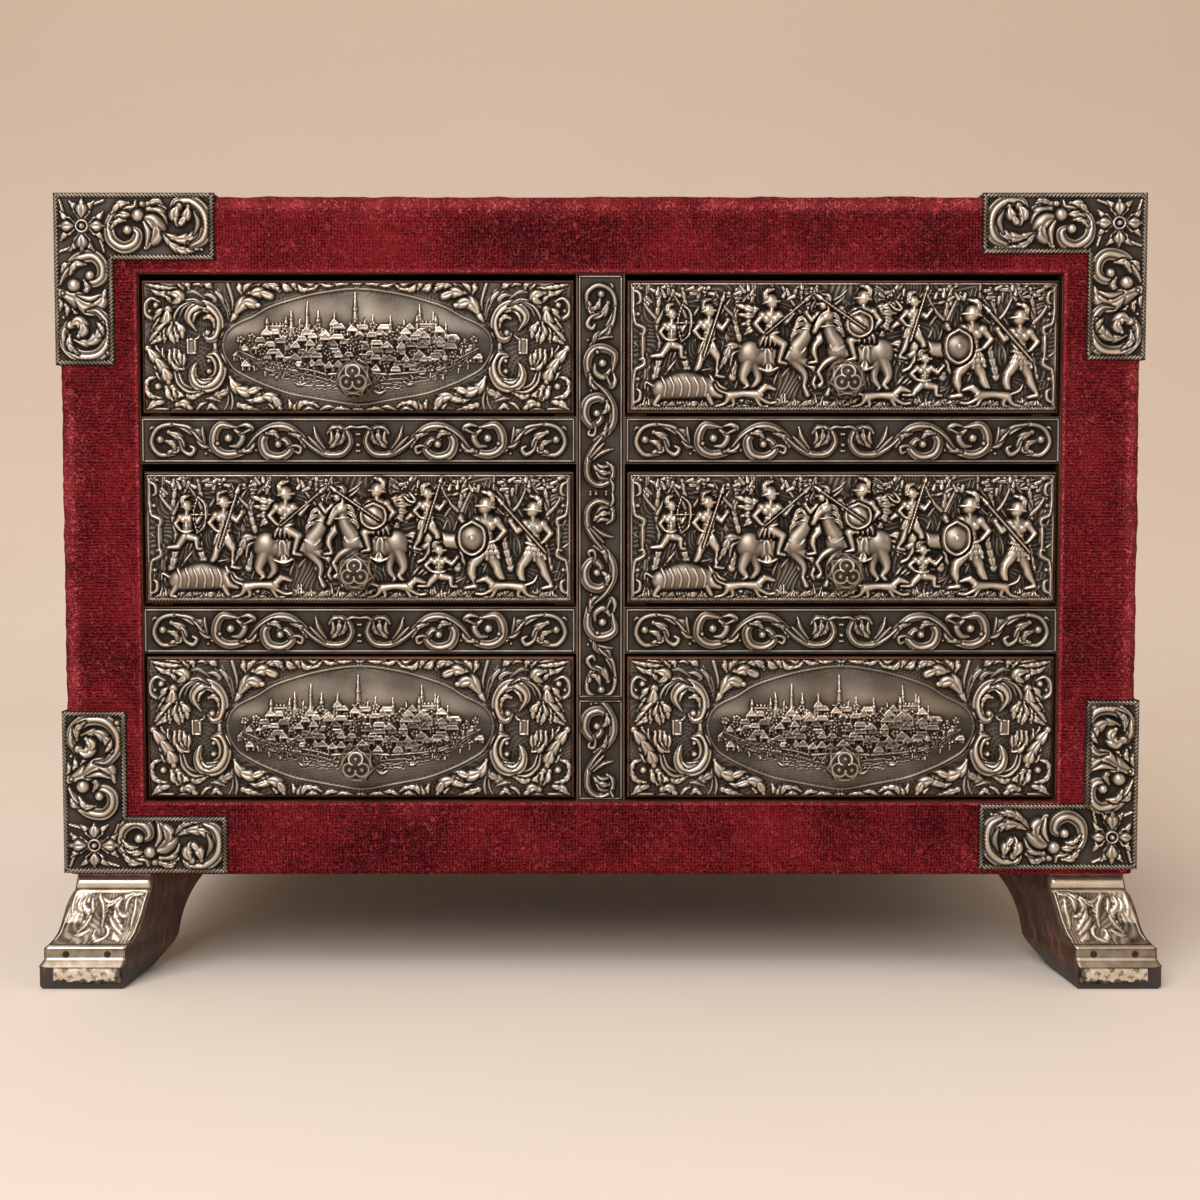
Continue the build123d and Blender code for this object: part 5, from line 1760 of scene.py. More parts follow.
@dataclass
class KnobWork:
    """A drawer knob: a turned neck and a chased ball with a ring and a rosette on its front."""

    base: float = 3.2
    ball: float = 5.5
    length: float = 14.0
    steps: int = 110
    post: float = 1.5
    nut: float = 6.0

    def outline(self) -> list[Point]:
        """Draws the knob's half section, as distance from the plate and radius."""
        line = [(0.0, 0.9 * self.base), (0.25, self.base), (0.55, self.base), (0.85, 2.5)]
        line += [(1.15, 2.0), (1.45, 2.35), (1.75, 2.4), (2.0, 1.95), (2.35, 1.85)]
        middle = 2.6 + self.ball
        for angle in np.linspace(158, 9, 62):
            turn = math.radians(angle)
            line.append((middle + self.ball * math.cos(turn), self.ball * math.sin(turn)))
        return line + [(13.8, 0.75), (13.97, 0.4), (14.0, 0.0)]

    def chasing(self, along: float, around: float) -> float:
        """Works out how far the chasing stands out of the ball.

        Args:
            along: the angle from the ball's front, in degrees.
            around: the angle about its axis, in degrees.

        Returns:
            The height in millimetres.
        """
        if along < 10 or along > 150:
            return 0.2
        tilt = math.radians(along)
        rise = 0.0
        # Rings of chased line overlap: a trefoil in front, then seven round the sides.
        for count, place, reach, first in ((3, 25, 22, 90), (7, 76, 23, 12), (9, 122, 17, 0)):
            far = math.radians(place)
            for number in range(count):
                turn = math.radians(around - first - 360 * number / count)
                level = math.cos(tilt) * math.cos(far)
                level += math.sin(tilt) * math.sin(far) * math.cos(turn)
                gap = math.degrees(math.acos(max(-1.0, min(1.0, level))))
                rise = max(rise, 0.5 * math.exp(-(((gap - reach) / 3.4) ** 2)))
                rise = max(rise, 0.42 * math.exp(-((gap / 6.5) ** 2)))
        for ring in (50, 102, 141):
            rise = max(rise, 0.42 * math.exp(-(((along - ring) / 2.6) ** 2)))
        return rise

    def build(self, name: str, silver: bpy.types.Material) -> None:
        """Builds a drawer's knob on the place of its plain one.

        Args:
            name: the drawer's row and column.
            silver: its finish.
        """
        node = f"{name}_knob"
        low, high = box_mm(node)
        middle_x, middle_z = (low[0] + high[0]) / 2, (low[2] + high[2]) / 2
        plate_y = low[1] + self.length
        knob = bmesh.new()
        shine = knob.verts.layers.float.new("wear")
        line = [
            knob.verts.new((middle_x + radius, plate_y - reach, middle_z))
            for reach, radius in self.outline()
        ]
        edges = [knob.edges.new(pair) for pair in zip(line, line[1:])]
        axis_place = Vector((middle_x, plate_y, middle_z))
        bmesh.ops.spin(
            knob,
            geom=[*line, *edges],
            cent=axis_place,
            axis=(0, 1, 0),
            angle=2 * math.pi,
            steps=self.steps,
            use_merge=True,
        )
        bmesh.ops.remove_doubles(knob, verts=knob.verts, dist=0.001)
        centre = Vector((middle_x, plate_y - 2.6 - self.ball, middle_z))
        for vertex in knob.verts:
            out = vertex.co - centre
            radius = math.hypot(out.x, out.z)
            along = math.degrees(math.atan2(radius, -out.y))
            rise = 0.0
            if abs(out.length - self.ball) < 0.15:
                rise = self.chasing(along, math.degrees(math.atan2(out.z, out.x)))
                vertex.co += out.normalized() * (rise - 0.25)
            vertex[shine] = min(1.0, max(0.0, 0.1 + 1.35 * rise))
        bmesh.ops.contextual_create(knob, geom=rim_of(knob))
        bmesh.ops.recalc_face_normals(knob, faces=knob.faces)
        smoothed(knob.faces)
        whole = joined([knob, self.fixing(middle_x, middle_z, plate_y, high[1])])
        finish_piece(f"{name}_chased_knob", f"{name}_drawer", whole, silver, [node])

    def fixing(self, x: float, z: float, front: float, back: float) -> bmesh.types.BMesh:
        """Makes the post through the drawer front and the square nut behind it.

        Args:
            x: the knob's middle, across.
            z: the same, up.
            front: where the post starts.
            back: where the nut ends.

        Returns:
            The post and nut.
        """
        fixing = bmesh.new()
        turned = Matrix.Rotation(math.pi / 2, 4, "X")
        reach = back - 0.3 - front
        bmesh.ops.create_cone(
            fixing,
            cap_ends=True,
            segments=24,
            radius1=self.post,
            radius2=self.post,
            depth=reach,
            matrix=Matrix.Translation((x, front + reach / 2, z)) @ turned,
        )
        nut = bmesh.ops.create_cube(
            fixing,
            size=1,
            matrix=Matrix.Translation((x, back - 1.0, z))
            @ Matrix.Diagonal((self.nut, 2, self.nut, 1)),
        )["verts"]
        edges = {edge for vertex in nut for edge in vertex.link_edges}
        bmesh.ops.bevel(
            fixing,
            geom=list(edges),
            offset=0.3,
            segments=2,
            profile=0.5,
            affect="EDGES",
            material=-1,
        )
        return fixing


@dataclass
class RailSilver(PlateWork):
    """The chased strips on the divider rails and on the post between the drawers."""

    polish: float = 0.74
    fullness: float = 1.22
    drawn_length: float = 129.75
    drawn_height: float = 13.5

    def strip(self, low: np.ndarray, high: np.ndarray) -> bmesh.types.BMesh:
        """Makes one rail strip of running scrolls between two raised lines.

        Args:
            low: the plain strip's lowest corner.
            high: its highest corner.

        Returns:
            The strip.
        """
        half, middle = (high - low) / 2, (high + low) / 2
        sheet = blank(half[0], half[2], self.cell)
        grow = (2 * half[0] / self.drawn_length, 2 * half[2] / self.drawn_height)
        sheet.draw(RAIL_SCROLLWORK, size=grow, wide=self.fullness)
        self.lines(sheet, (half[0], half[2]))
        sheet.mirror()
        return self.plate(sheet, (middle[0], middle[2]), high[1] - self.thickness)

    def lines(self, sheet: Relief, half: Point) -> None:
        """Works the raised lines along a strip's edges."""
        x, z = half[0] - 0.55, half[1] - 0.55
        ring = [(-x, -z), (x, -z), (x, z), (-x, z), (-x, -z)]
        sheet.bars(ring, 0.62, 0.75)

    def rails(self, column: str, silver: bpy.types.Material) -> None:
        """Builds the strips of both rails in a column of drawers.

        Args:
            column: the column's side.
            silver: their finish.
        """
        node = f"{column}_rail_plates"
        low, high = box_mm(node)
        tall = self.drawn_height
        pieces = []
        for bottom in (low[2], high[2] - tall):
            first = np.array((low[0], low[1], bottom))
            last = np.array((high[0], high[1], bottom + tall))
            pieces.append(self.strip(first, last))
        rails = joined(pieces)
        finish_piece(f"{column}_scrolled_rails", "cabinet", rails, silver, [node])

    def stile(self, node: str, start: float, silver: bpy.types.Material) -> None:
        """Builds a strip of the post: the rails' scrollwork turned upright and run on.

        Args:
            node: the plain strip that it replaces.
            start: how far into the scrollwork the strip starts at its top.
            silver: its finish.
        """
        low, high = box_mm(node)
        half, middle = (high - low) / 2, (high + low) / 2
        lying = blank(half[2], half[0], self.cell)
        length = self.drawn_length
        for number in range(math.ceil(2 * (2 * half[2] + start) / length)):
            run = length * (number // 2) + length / 2 - start - half[2]
            turn = (-1.0 if number % 2 else 1.0, 0.94)
            lying.draw(RAIL_SCROLLWORK, (run, 0.0), turn, wide=self.fullness)
        self.lines(lying, (half[2], half[0]))
        upright = Relief(lying.up, lying.across)
        upright.height = lying.height.T[:, ::-1].copy()
        plate = self.plate(upright, (middle[0], middle[2]), high[1] - self.thickness)
        name = node.replace("stile_plate", "scrolled_stile")
        finish_piece(name, "cabinet", plate, silver, [node])


@dataclass
class CornerMount(PlateWork):
    """An L-shaped mount over a corner of the case, with rope edges and turned flanges."""

    name: str = "upper_left"
    bar: float = 47.7
    post: float = 50.8
    bar_width: float = 19.8
    post_width: float = 17.7
    side: int = -1
    top: int = 1
    cell: float = 0.28
    thickness: float = 0.8
    flange: float = 9.0
    polish: float = 0.92
    drawn: Point = (47.7, 50.8)

    def build(self, silver: bpy.types.Material) -> None:
        """Builds the mount on the place of its plain one.

        Args:
            silver: its finish.
        """
        node = f"{self.name}_corner_mount"
        low, high = box_mm(node)
        corner = (
            low[0] if self.side < 0 else high[0],
            high[2] if self.top > 0 else low[2],
        )
        parts = [self.face(corner), self.turned(corner, upright=True)]
        if self.top > 0:
            parts.append(self.turned(corner, upright=False))
        finish_piece(
            f"{self.name}_chased_mount", "cabinet", joined(parts), silver, [node]
        )

    def face(self, corner: Point) -> bmesh.types.BMesh:
        """Makes the L-shaped face.

        Args:
            corner: the mount's outer corner, across and up.

        Returns:
            The face.
        """
        across, down = (
            np.concatenate(
                [even_lines(0, width, self.cell)[:-1], even_lines(width, length, self.cell)]
            )
            for width, length in ((self.post_width, self.bar), (self.bar_width, self.post))
        )
        sheet = Relief(across, down)
        grow = (self.bar / self.drawn[0], self.post / self.drawn[1])
        sheet.draw(MOUNT_SCROLLWORK, size=grow, wide=1.15)
        self.rosette(sheet)
        self.borders(sheet)
        keep = (across[:-1, None] < self.post_width - 0.01) | (
            down[None, :-1] < self.bar_width - 0.01
        )
        a, b = across[:, None], down[None, :]
        notch = np.maximum(self.post_width - a, self.bar_width - b)
        inset = np.minimum(np.minimum(a, b), np.minimum(self.bar - a, self.post - b))
        inset = np.minimum(inset, np.maximum(notch, 0))
        drop = np.clip(1 - inset / self.rim, 0, 1)
        height = sheet.height * np.clip(inset / 0.4, 0, 1) - self.rim * (1 - np.sqrt(1 - drop**2))
        x = corner[0] - self.side * a + 0 * b
        z = corner[1] - self.top * b + 0 * a
        return self.cut(sheet, x, z, height, CASE_FRONT - self.thickness, keep)

    def rosette(self, sheet: Relief) -> None:
        """Works four leaves and four plain ribs round a ringed bead in the corner's square."""
        middle = np.array([self.post_width / 2 - 0.2, self.bar_width / 2])
        reach = np.array([self.post_width / 2 - 2.1, self.bar_width / 2 - 2.1])
        for quarter in range(4):
            for turn, far, wide in (
                (45, 1.36, 0.9), (-30, 1.08, 3.0), (30, 1.08, 3.0), (0, 1.02, 4.4),
            ):
                angle = math.radians(90 * quarter + 0.6 * turn)
                tip = math.radians(90 * quarter + turn)
                way = np.array([math.cos(angle), math.sin(angle)])
                end = middle + far * reach * (math.cos(tip), math.sin(tip))
                sheet.stroke([middle + 2.0 * way, middle + 0.6 * far * reach * way, end],
                             [0.9, wide, 0.7], 1.7, 0.4)
        ring = np.radians(np.arange(0, 391, 30))
        sheet.stroke(middle + 1.7 * np.column_stack([np.cos(ring), np.sin(ring)]), [0.7] * 14, 1.5)
        sheet.bead(tuple(middle), 0.9, 2.0)

    def borders(self, sheet: Relief) -> None:
        """Works the twisted rope around the L."""
        inset = 0.75
        bar, post = self.bar - inset, self.post - inset
        inner_bar, inner_post = self.bar_width - inset, self.post_width - inset
        ring = [(inset, inset), (bar, inset), (bar, inner_bar), (inner_post, inner_bar),
                (inner_post, post), (inset, post), (inset, inset)]
        sheet.rope(ring, 1.1, 0.7, 1.15)

    def turned(self, corner: Point, upright: bool) -> bmesh.types.BMesh:
        """Makes a flange that turns back over the side or the top.

        Args:
            corner: the mount's outer corner, across and up.
            upright: whether it is the one down the side.

        Returns:
            The flange.
        """
        length = self.post if upright else self.bar
        cell = 0.42
        sheet = Relief(even_lines(0.3, length, cell), even_lines(0.25, self.flange, cell))
        sheet.rope([(0.9, self.flange - 0.8), (length - 0.8, self.flange - 0.8)], 1.1, 0.55, 1.3)
        sheet.rope([(length - 0.8, 0.6), (length - 0.8, self.flange - 0.8)], 1.1, 0.55, 1.3)
        leaf = [(2.0, 4.2), (length * 0.3, 3.4), (length * 0.6, 5.0), (length - 3, 4.0)]
        sheet.stroke(leaf, [0.7, 1.1, 1.1, 0.5], 0.5, 0.4)
        for share in np.linspace(0.08, 0.88, 8):
            swing = 1 if round(share * 20) % 2 else -1
            sheet.draw(
                [Stroke(((0, 0), (1.6, 1.5), (3.2, 1.6)), (0.6, 1.4, 0.3), 0.5, 0.4)],
                (length * share, 4.2),
                (1.0, float(swing)),
            )
        run, back = np.meshgrid(sheet.across, sheet.up, indexing="ij")
        rise = np.minimum(sheet.height, 0.6) * 0.4 - 0.3
        depth = CASE_FRONT - self.thickness + back
        # The flange stands out of one side of the corner and runs along the other.
        way, out, along = (0, self.side, self.top) if upright else (1, self.top, self.side)
        face = corner[way] + out * rise
        flat = np.full_like(face, corner[way] - out * self.thickness)
        line = corner[1 - way] - along * run
        places, backs = (
            np.stack([level, depth, line] if upright else [line, depth, level], axis=2)
            for level in (face, flat)
        )
        return chased_sheet(places, backs, sheet.wear(cell) * 0.9)


@dataclass
class FootSilver:
    """The mounts down the feet's outer faces: a band, an acanthus field, a ledge and a toe."""

    cell: float = 0.36
    half_width: float = CASE_HALF_WIDTH
    set_in: tuple[Point, ...] = (
        (0.0, -7.2), (6.8, -7.2), (8.9, -5.8), (12.2, -5.8), (16.0, -2.6), (20.0, -1.3),
        (28.2, 1.8), (33.5, 2.7),
    )
    face: tuple[Point, ...] = (
        (0.0, 25.5), (6.8, 25.5), (8.9, 24.8), (12.2, 24.8), (16.0, 24.2), (20.0, 24.3),
        (28.2, 23.3), (33.5, 22.7),
    )
    margin: float = 0.45
    thickness: float = 0.6

    def build(self, silver: bpy.types.Material) -> None:
        """Builds the mounts of all four feet on the place of the plain ones.

        Args:
            silver: their finish.
        """
        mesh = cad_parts["foot_mounts"].data
        corners = [tuple(vertex.co / MM) for vertex in mesh.vertices]
        plain = BVHTree.FromPolygons(corners, [tuple(face.vertices) for face in mesh.polygons])
        mounts = joined(self.mount(plain, side, front) for side in (-1, 1) for front in (-1, 1))
        finish_piece("foot_chased_mounts", "cabinet", mounts, silver, ["foot_mounts"])

    def mount(self, plain: BVHTree, side: int, front: int) -> bmesh.types.BMesh:
        """Makes one foot's mount, laid over the plain one.

        Args:
            plain: the plain mounts.
            side: -1 for a left foot and 1 for a right one.
            front: -1 for a front foot and 1 for a back one.

        Returns:
            The mount.
        """
        up = even_lines(1.95, 33.35, self.cell)
        wide = even_lines(0.0, 24.6, self.cell)
        sheet = Relief(wide, up)
        self.chase(sheet)
        start = np.interp(up, *np.array(self.set_in).T) + self.margin
        stop = start + np.interp(up, *np.array(self.face).T) - 2 * self.margin
        share = np.linspace(0, 1, len(wide))[:, None]
        inward = start[None, :] + share * (stop - start)[None, :]
        low = up < 6.8
        inward[:, low] = np.maximum(inward[:, low], -7.2 + 4.6 + 0 * inward[:, low])
        x = side * (self.half_width - inward)
        base = np.zeros_like(x)
        for row in range(x.shape[0]):
            for column in range(x.shape[1]):
                origin = Vector((x[row, column], front * 170.0, up[column]))
                hit = plain.ray_cast(origin, Vector((0, -front, 0)))[0]
                base[row, column] = abs(hit.y) if hit else np.nan
        known = ~np.isnan(base)
        for column in range(base.shape[1]):
            rows = np.flatnonzero(known[:, column])
            base[:, column] = np.interp(np.arange(base.shape[0]), rows, base[rows, column])
        edge = np.minimum(np.arange(len(wide)), np.arange(len(wide))[::-1])[:, None] * self.cell
        inner = np.clip(edge / 0.5, 0, 1)
        height = sheet.height * inner - 0.3 * (1 - inner) ** 2
        z = np.broadcast_to(up[None, :], x.shape)
        places = np.stack([x, front * (base + height), z], axis=2)
        backs = np.stack([x, front * (base - self.thickness), z], axis=2)
        wear = sheet.wear(self.cell)
        leaves = (up > 13.0) & (up < 28.0)
        wear[:, leaves] = 0.06 + 0.74 * wear[:, leaves]
        return chased_sheet(places, backs, wear)

    def chase(self, sheet: Relief) -> None:
        """Works the acanthus field between the band and the ledge, and the knocked toe."""
        sheet.hatch(chased=0.16, pitch=1.0, waves=7.0)
        sheet.height[:, sheet.up > 28.0] = 0
        sheet.height[:, sheet.up < 13.2] = 0
        sheet.bars([(-1, 30.6), (26, 30.6)], 3.4, 0.8)
        sheet.bars([(-1, 28.1), (26, 28.1)], 0.6, 0.35)
        for x in (0.7, 23.9):
            sheet.bars([(x, 14.6), (x, 28.0)], 0.6, 0.35)
        sheet.draw(FOOT_LEAFWORK, lift=0.72)
        sheet.bars([(0, 12.6), (25, 12.6)], 0.7, 0.35)
        sheet.bars([(0, 9.0), (25, 9.0)], 0.6, 0.3)
        chance = np.random.default_rng(3)
        sheet.moat = 0.0
        for _ in range(46):
            place = (chance.uniform(0.5, 24), chance.uniform(2.4, 6.2))
            sheet.bead(place, chance.uniform(0.5, 1.4), chance.uniform(0.06, 0.16))
        along, up = sheet.across[:, None], sheet.up[None, :]
        # From the top: the band, the leaves, the ledge and the toe.
        bright = np.select([up > 27.8, up > 13.0, up > 7.0], [0.3, 0.12, 0.22], -0.12)
        # The silver on the toe is rubbed to a bright patch with a ragged edge.
        ragged = 0.5 * np.sin(2.3 * along + 3 * up) + 0.6 * np.sin(1.1 * along - 2.2 * up + 1)
        patch = (along > 3.4) & (along < 22.6 + 0.4 * ragged)
        patch = patch & (up > 2.9 + 0.5 * ragged) & (up < 6.5)
        scars = np.sin(1.7 * along + 1.3 * up) + np.sin(0.9 * along - 2.3 * up + 2)
        scars = scars + 0.7 * np.sin(4.1 * along + 2.9 * up) > 0.85
        bright = bright + np.where(patch, np.where(scars, 0.25, 0.85), 0.0)
        chips = (along < 5.5 + ragged) & (up > 19.5 + 0.6 * ragged) & (up < 28)
        shaded = (along < 6) & (up > 13) & (up < 19)
        bright = bright + np.where(chips, 0.45, 0.0) - np.where(shaded, 0.2, 0)
        sheet.shine += bright + 0 * sheet.height


FOOT_LEAFWORK: tuple[Mark, ...] = (
    band(0.95, 0.4, (22.8, 27.4, 0.8), (18.6, 27, 1.7), (14.9, 25.4, 2.2), (12.4, 23.9, 1.8),
         (13, 21.6, 0.7)),
    band(0.9, 0.4, (19.4, 26.8, 0.7), (18.5, 25.1, 1.9), (19, 22.5, 0.7)),
    band(1, 0.4, (16.5, 26.1, 0.9), (15.6, 24.1, 2.3), (16.5, 21.7, 2.2), (19.8, 20.8, 0.7)),
    band(0.95, 0.4, (15.5, 22.5, 1.3), (16.7, 19.9, 2.7), (20.3, 17.1, 0.9)),
    band(0.85, 0.4, (14.7, 20.5, 0.8), (16.8, 18.2, 1.9), (20.1, 15.9, 0.7)),
    band(0.7, 0, (21, 26.1, 0.6), (21.8, 22.9, 1.3), (21.9, 19.9, 1.2), (22.6, 17.3, 0.5)),
    band(0.95, 0.4, (8.6, 27, 1.5), (10.8, 24.6, 1.7), (12.4, 21.2, 1.5), (13, 18.1, 0.7)),
    band(0.95, 0, (11.3, 17.1, 0.7), (11.6, 15.5, 1.2), (13.8, 14.4, 1.5), (15.7, 15.2, 1.5),
         (15.5, 17.1, 1.2), (14, 18.3, 0.6)),
    band(0.95, 0.4, (6.8, 26.1, 0.8), (8.1, 22.5, 1.8), (7.3, 19.4, 2.2), (6.3, 17.5, 0.7)),
    band(1, 0.4, (4.7, 26.6, 0.9), (4.5, 24.1, 2.2), (7.3, 22, 1.9), (7.1, 20.2, 0.6)),
    band(0.85, 0.4, (3.1, 26.1, 0.8), (3.1, 24.1, 1.7), (5.1, 22.1, 0.6)),
    band(0.9, 0.4, (8.4, 21.2, 0.7), (7.7, 18.5, 1.8), (6, 16.6, 0.7)),
    band(0.8, 0.4, (9.2, 16.9, 0.7), (7.7, 15.9, 1.5), (5.9, 15.7, 0.5)),
    band(0.75, 0.4, (17.3, 16.4, 0.7), (18.5, 15.2, 1.4), (21, 14.3, 0.5)),
    band(0.8, 0, (10.5, 26.1, 0.6), (12.6, 25.1, 1.2), (13.9, 25.4, 0.5)),
    band(0.6, 0, (0.7, 26.8, 0.6), (1.2, 24.2, 1), (2.4, 21.2, 0.5)),
    Bead((12.6, 14.9), 0.6, 1),
)


# ------------------------------------------------------------------ velvet
def runs(*spans: tuple[float, float, float]) -> np.ndarray:
    """Joins evenly divided spans into one set of lines.

    Args:
        spans: each span's start, stop and cell.

    Returns:
        The lines, each once.
    """
    parts = [even_lines(*span)[:-1] for span in spans]
    return np.concatenate([*parts, [spans[-1][1]]])


@dataclass
class VelvetCover:
    """Velvet laid over the front, top and sides of the case, and a second cloth on its back."""

    half_width: float = CASE_HALF_WIDTH
    bottom: float = 33.5
    top: float = 236.5
    front: float = CASE_FRONT
    seam: float = 120.9
    back: float = 122.4
    opening: tuple[float, float, float] = (137.5, 55.5, 213.7)
    rounding: float = 3.8
    cell: float = 1.9
    hem: float = 1.5

    def lines(self) -> tuple[np.ndarray, np.ndarray, np.ndarray]:
        """Gives the grid lines across, front to back and up."""
        w, (ox, low, high), hem, cell = self.half_width, self.opening, self.hem, self.cell
        across = runs((-w, -w + 5, 0.85), (-w + 5, -ox - hem, cell), (-ox - hem, ox + hem, cell),
                      (ox + hem, w - 5, cell), (w - 5, w, 0.85))
        deep = runs((self.front, self.front + 5, 0.85), (self.front + 5, self.seam, cell + 0.4))
        up = runs((self.bottom, low - hem, cell), (low - hem, high + hem, cell),
                  (high + hem, self.top - 5, cell), (self.top - 5, self.top, 0.85))
        return across, deep, up

    def patch(
        self, first: np.ndarray, second: np.ndarray, place: Callable[[float, float], tuple]
    ) -> bmesh.types.BMesh:
        """Makes a flat patch of cloth with its weave laid out in its own UV map.

        Args:
            first: the lines one way.
            second: the lines the other way.
            place: where a crossing of two lines goes.

        Returns:
            The patch.
        """
        patch = bmesh.new()
        bmesh.ops.create_grid(
            patch, x_segments=len(first) - 1, y_segments=len(second) - 1, size=1
        )
        weave = patch.loops.layers.uv.new("cloth")
        patch.verts.layers.float.new("wear")
        crossings = [(one, two) for two in second for one in first]
        flat = {}
        for vertex, crossing in zip(patch.verts, crossings):
            vertex.co = place(*crossing)
            flat[vertex.index] = crossing
        smoothed(patch.faces)
        for face in patch.faces:
            for loop in face.loops:
                one, two = flat[loop.vert.index]
                loop[weave].uv = (one * MM, two * MM)
        return patch

    def build(self, velvet: bpy.types.Material) -> None:
        """Builds both cloths on the place of the plain ones.

        Args:
            velvet: their finish.
        """
        across, deep, up = self.lines()
        w = self.half_width
        front = self.patch(across, up, lambda x, z: (x, self.front, z))
        self.cut_opening(front)
        parts = [
            front,
            self.patch(across, deep, lambda x, y: (x, y, self.top)),
            self.patch(deep, up, lambda y, z: (w, y, z)),
            self.patch(deep[::-1], up, lambda y, z: (-w, y, z)),
        ]
        cover = joined(parts)
        bmesh.ops.remove_doubles(cover, verts=cover.verts, dist=0.01)
        self.round_and_wrinkle(cover)
        self.turn_hem(cover)
        self.close_edges(cover)
        piece = finish_piece("velvet_cloth", "cabinet", cover, velvet, ["velvet_cover"])
        self.back_cloth(velvet)

    def cut_opening(self, cloth: bmesh.types.BMesh) -> None:
        """Cuts the opening for the drawers out of the front."""
        ox, low, high = self.opening
        gone = []
        for face in cloth.faces:
            middle = face.calc_center_median()
            inside_up = low - self.hem < middle.z < high + self.hem
            if abs(middle.x) < ox + self.hem and inside_up:
                gone.append(face)
        bmesh.ops.delete(cloth, geom=gone, context="FACES")

    def round_and_wrinkle(self, cloth: bmesh.types.BMesh) -> None:
        """Rounds the cloth over the case's edges and lets it swell and crease a little."""
        shine = cloth.verts.layers.float["wear"]
        r = self.rounding
        for vertex in cloth.verts:
            p = vertex.co
            limit = self.half_width - r
            x = max(-limit, min(limit, p.x))
            core = Vector((x, max(p.y, self.front + r), min(p.z, self.top - r)))
            out = p - core
            edge = out.length > r * 1.001
            out.normalize()
            swell = 0.3 * noise.noise(p / 24) + 0.26 * noise.noise(p / 6.5 + Vector((7, 0, 0)))
            crease = 1 - abs(noise.noise(Vector((p.x / 31, p.y / 31, p.z / 15 + 9))))
            swell += 0.35 * max(0.0, crease - 0.93) / 0.07 * 0.6
            if edge:
                swell += 0.3 * noise.noise(p / 2.3)
            vertex.co = core + out * (r + max(-0.12, swell))
            # The pile is thin over the folds and a finger's width inside them. That band and the
            # rounded edge are also lightened as a painted highlight where the edge catches the
            # light.
            fold = min(self.half_width - abs(p.x), self.top - p.z)
            fold_wear_and_highlight = math.exp(-(((fold - 2.9) / 1.7) ** 2)) if p.y < self.front + 4 else 0.0
            rub_and_highlight = (0.62 * fold_wear_and_highlight + 0.2 * edge) * (1 + 1.3 * noise.noise(p / 7))
            rub_and_highlight += 0.5 * max(0.0, noise.noise(p / 15 + Vector((3, 1, 4))) - 0.25)
            vertex[shine] = max(0.0, rub_and_highlight)

    def turn_hem(self, cloth: bmesh.types.BMesh) -> None:
        """Rolls the cloth into the opening, to the face of the wood."""
        shine = cloth.verts.layers.float["wear"]
        ox, low, high = self.opening
        loop = [
            edge
            for edge in rim_of(cloth)
            if all(
                abs(v.co.x) < ox + 3 and low - 3 < v.co.z < high + 3 and v.co.y < self.front + 2
                for v in edge.verts
            )
        ]
        # The rolled lip is lightened: partly worn threads, partly a painted highlight along the
        # roll.
        for offset, depth, rub_and_highlight in (
            (1.15, -0.3, 0.1), (0.75, -0.5, 0.75), (0.35, -0.35, 1.0), (0.2, 0.1, 0.7),
            (0.15, 0.7, 0.0), (0.15, 1.9, 0.0),
        ):
            verts, edges, faces = grow(cloth, loop)
            for vertex in verts:
                p = vertex.co
                wave = 0.14 * noise.noise(p / 5)
                vertex.co = (
                    max(-ox - offset, min(ox + offset, p.x)),
                    self.front + depth + wave,
                    max(low - offset, min(high + offset, p.z)),
                )
                vertex[shine] = rub_and_highlight
            smoothed(faces)
            loop = [edge for edge in edges if edge.is_boundary]

    def close_edges(self, cloth: bmesh.types.BMesh) -> None:
        """Turns the cut edges at the bottom and the back in to the wood."""
        loop = [
            edge
            for edge in rim_of(cloth)
            if (
                all(v.co.z < self.bottom + 0.6 for v in edge.verts)
                or all(v.co.y > self.seam - 0.6 for v in edge.verts)
            )
        ]
        limit = self.half_width - 1.6
        for vertex in grow(cloth, loop)[0]:
            p = vertex.co
            vertex.co = (
                max(-limit, min(limit, p.x)), max(p.y, self.front + 1.6), min(p.z, self.top - 1.6)
            )

    def back_cloth(self, velvet: bpy.types.Material) -> None:
        """Builds the cloth over the back board."""
        w = self.half_width - 0.3
        across = runs((-w, -w + 2, 0.7), (-w + 2, w - 2, 3.2), (w - 2, w, 0.7))
        low, high = self.bottom + 0.2, self.top - 0.3
        up = runs((low, low + 2, 0.7), (low + 2, high - 2, 3.2), (high - 2, high, 0.7))
        cloth = self.patch(across[::-1], up, lambda x, z: (x, self.back, z))
        for vertex in cloth.verts:
            p = vertex.co
            r = 1.4
            x, z = max(-w + r, min(w - r, p.x)), max(low + r, min(high - r, p.z))
            core = Vector((x, self.back - r, z))
            out = (p - core).normalized()
            vertex.co = core + out * (r + max(-0.1, 0.25 * noise.noise(p / 21)))
        for vertex in grow(cloth, rim_of(cloth))[0]:
            vertex.co.y = self.seam
        replaced = ["velvet_back"]
        piece = finish_piece("velvet_back_cloth", "cabinet", cloth, velvet, replaced)


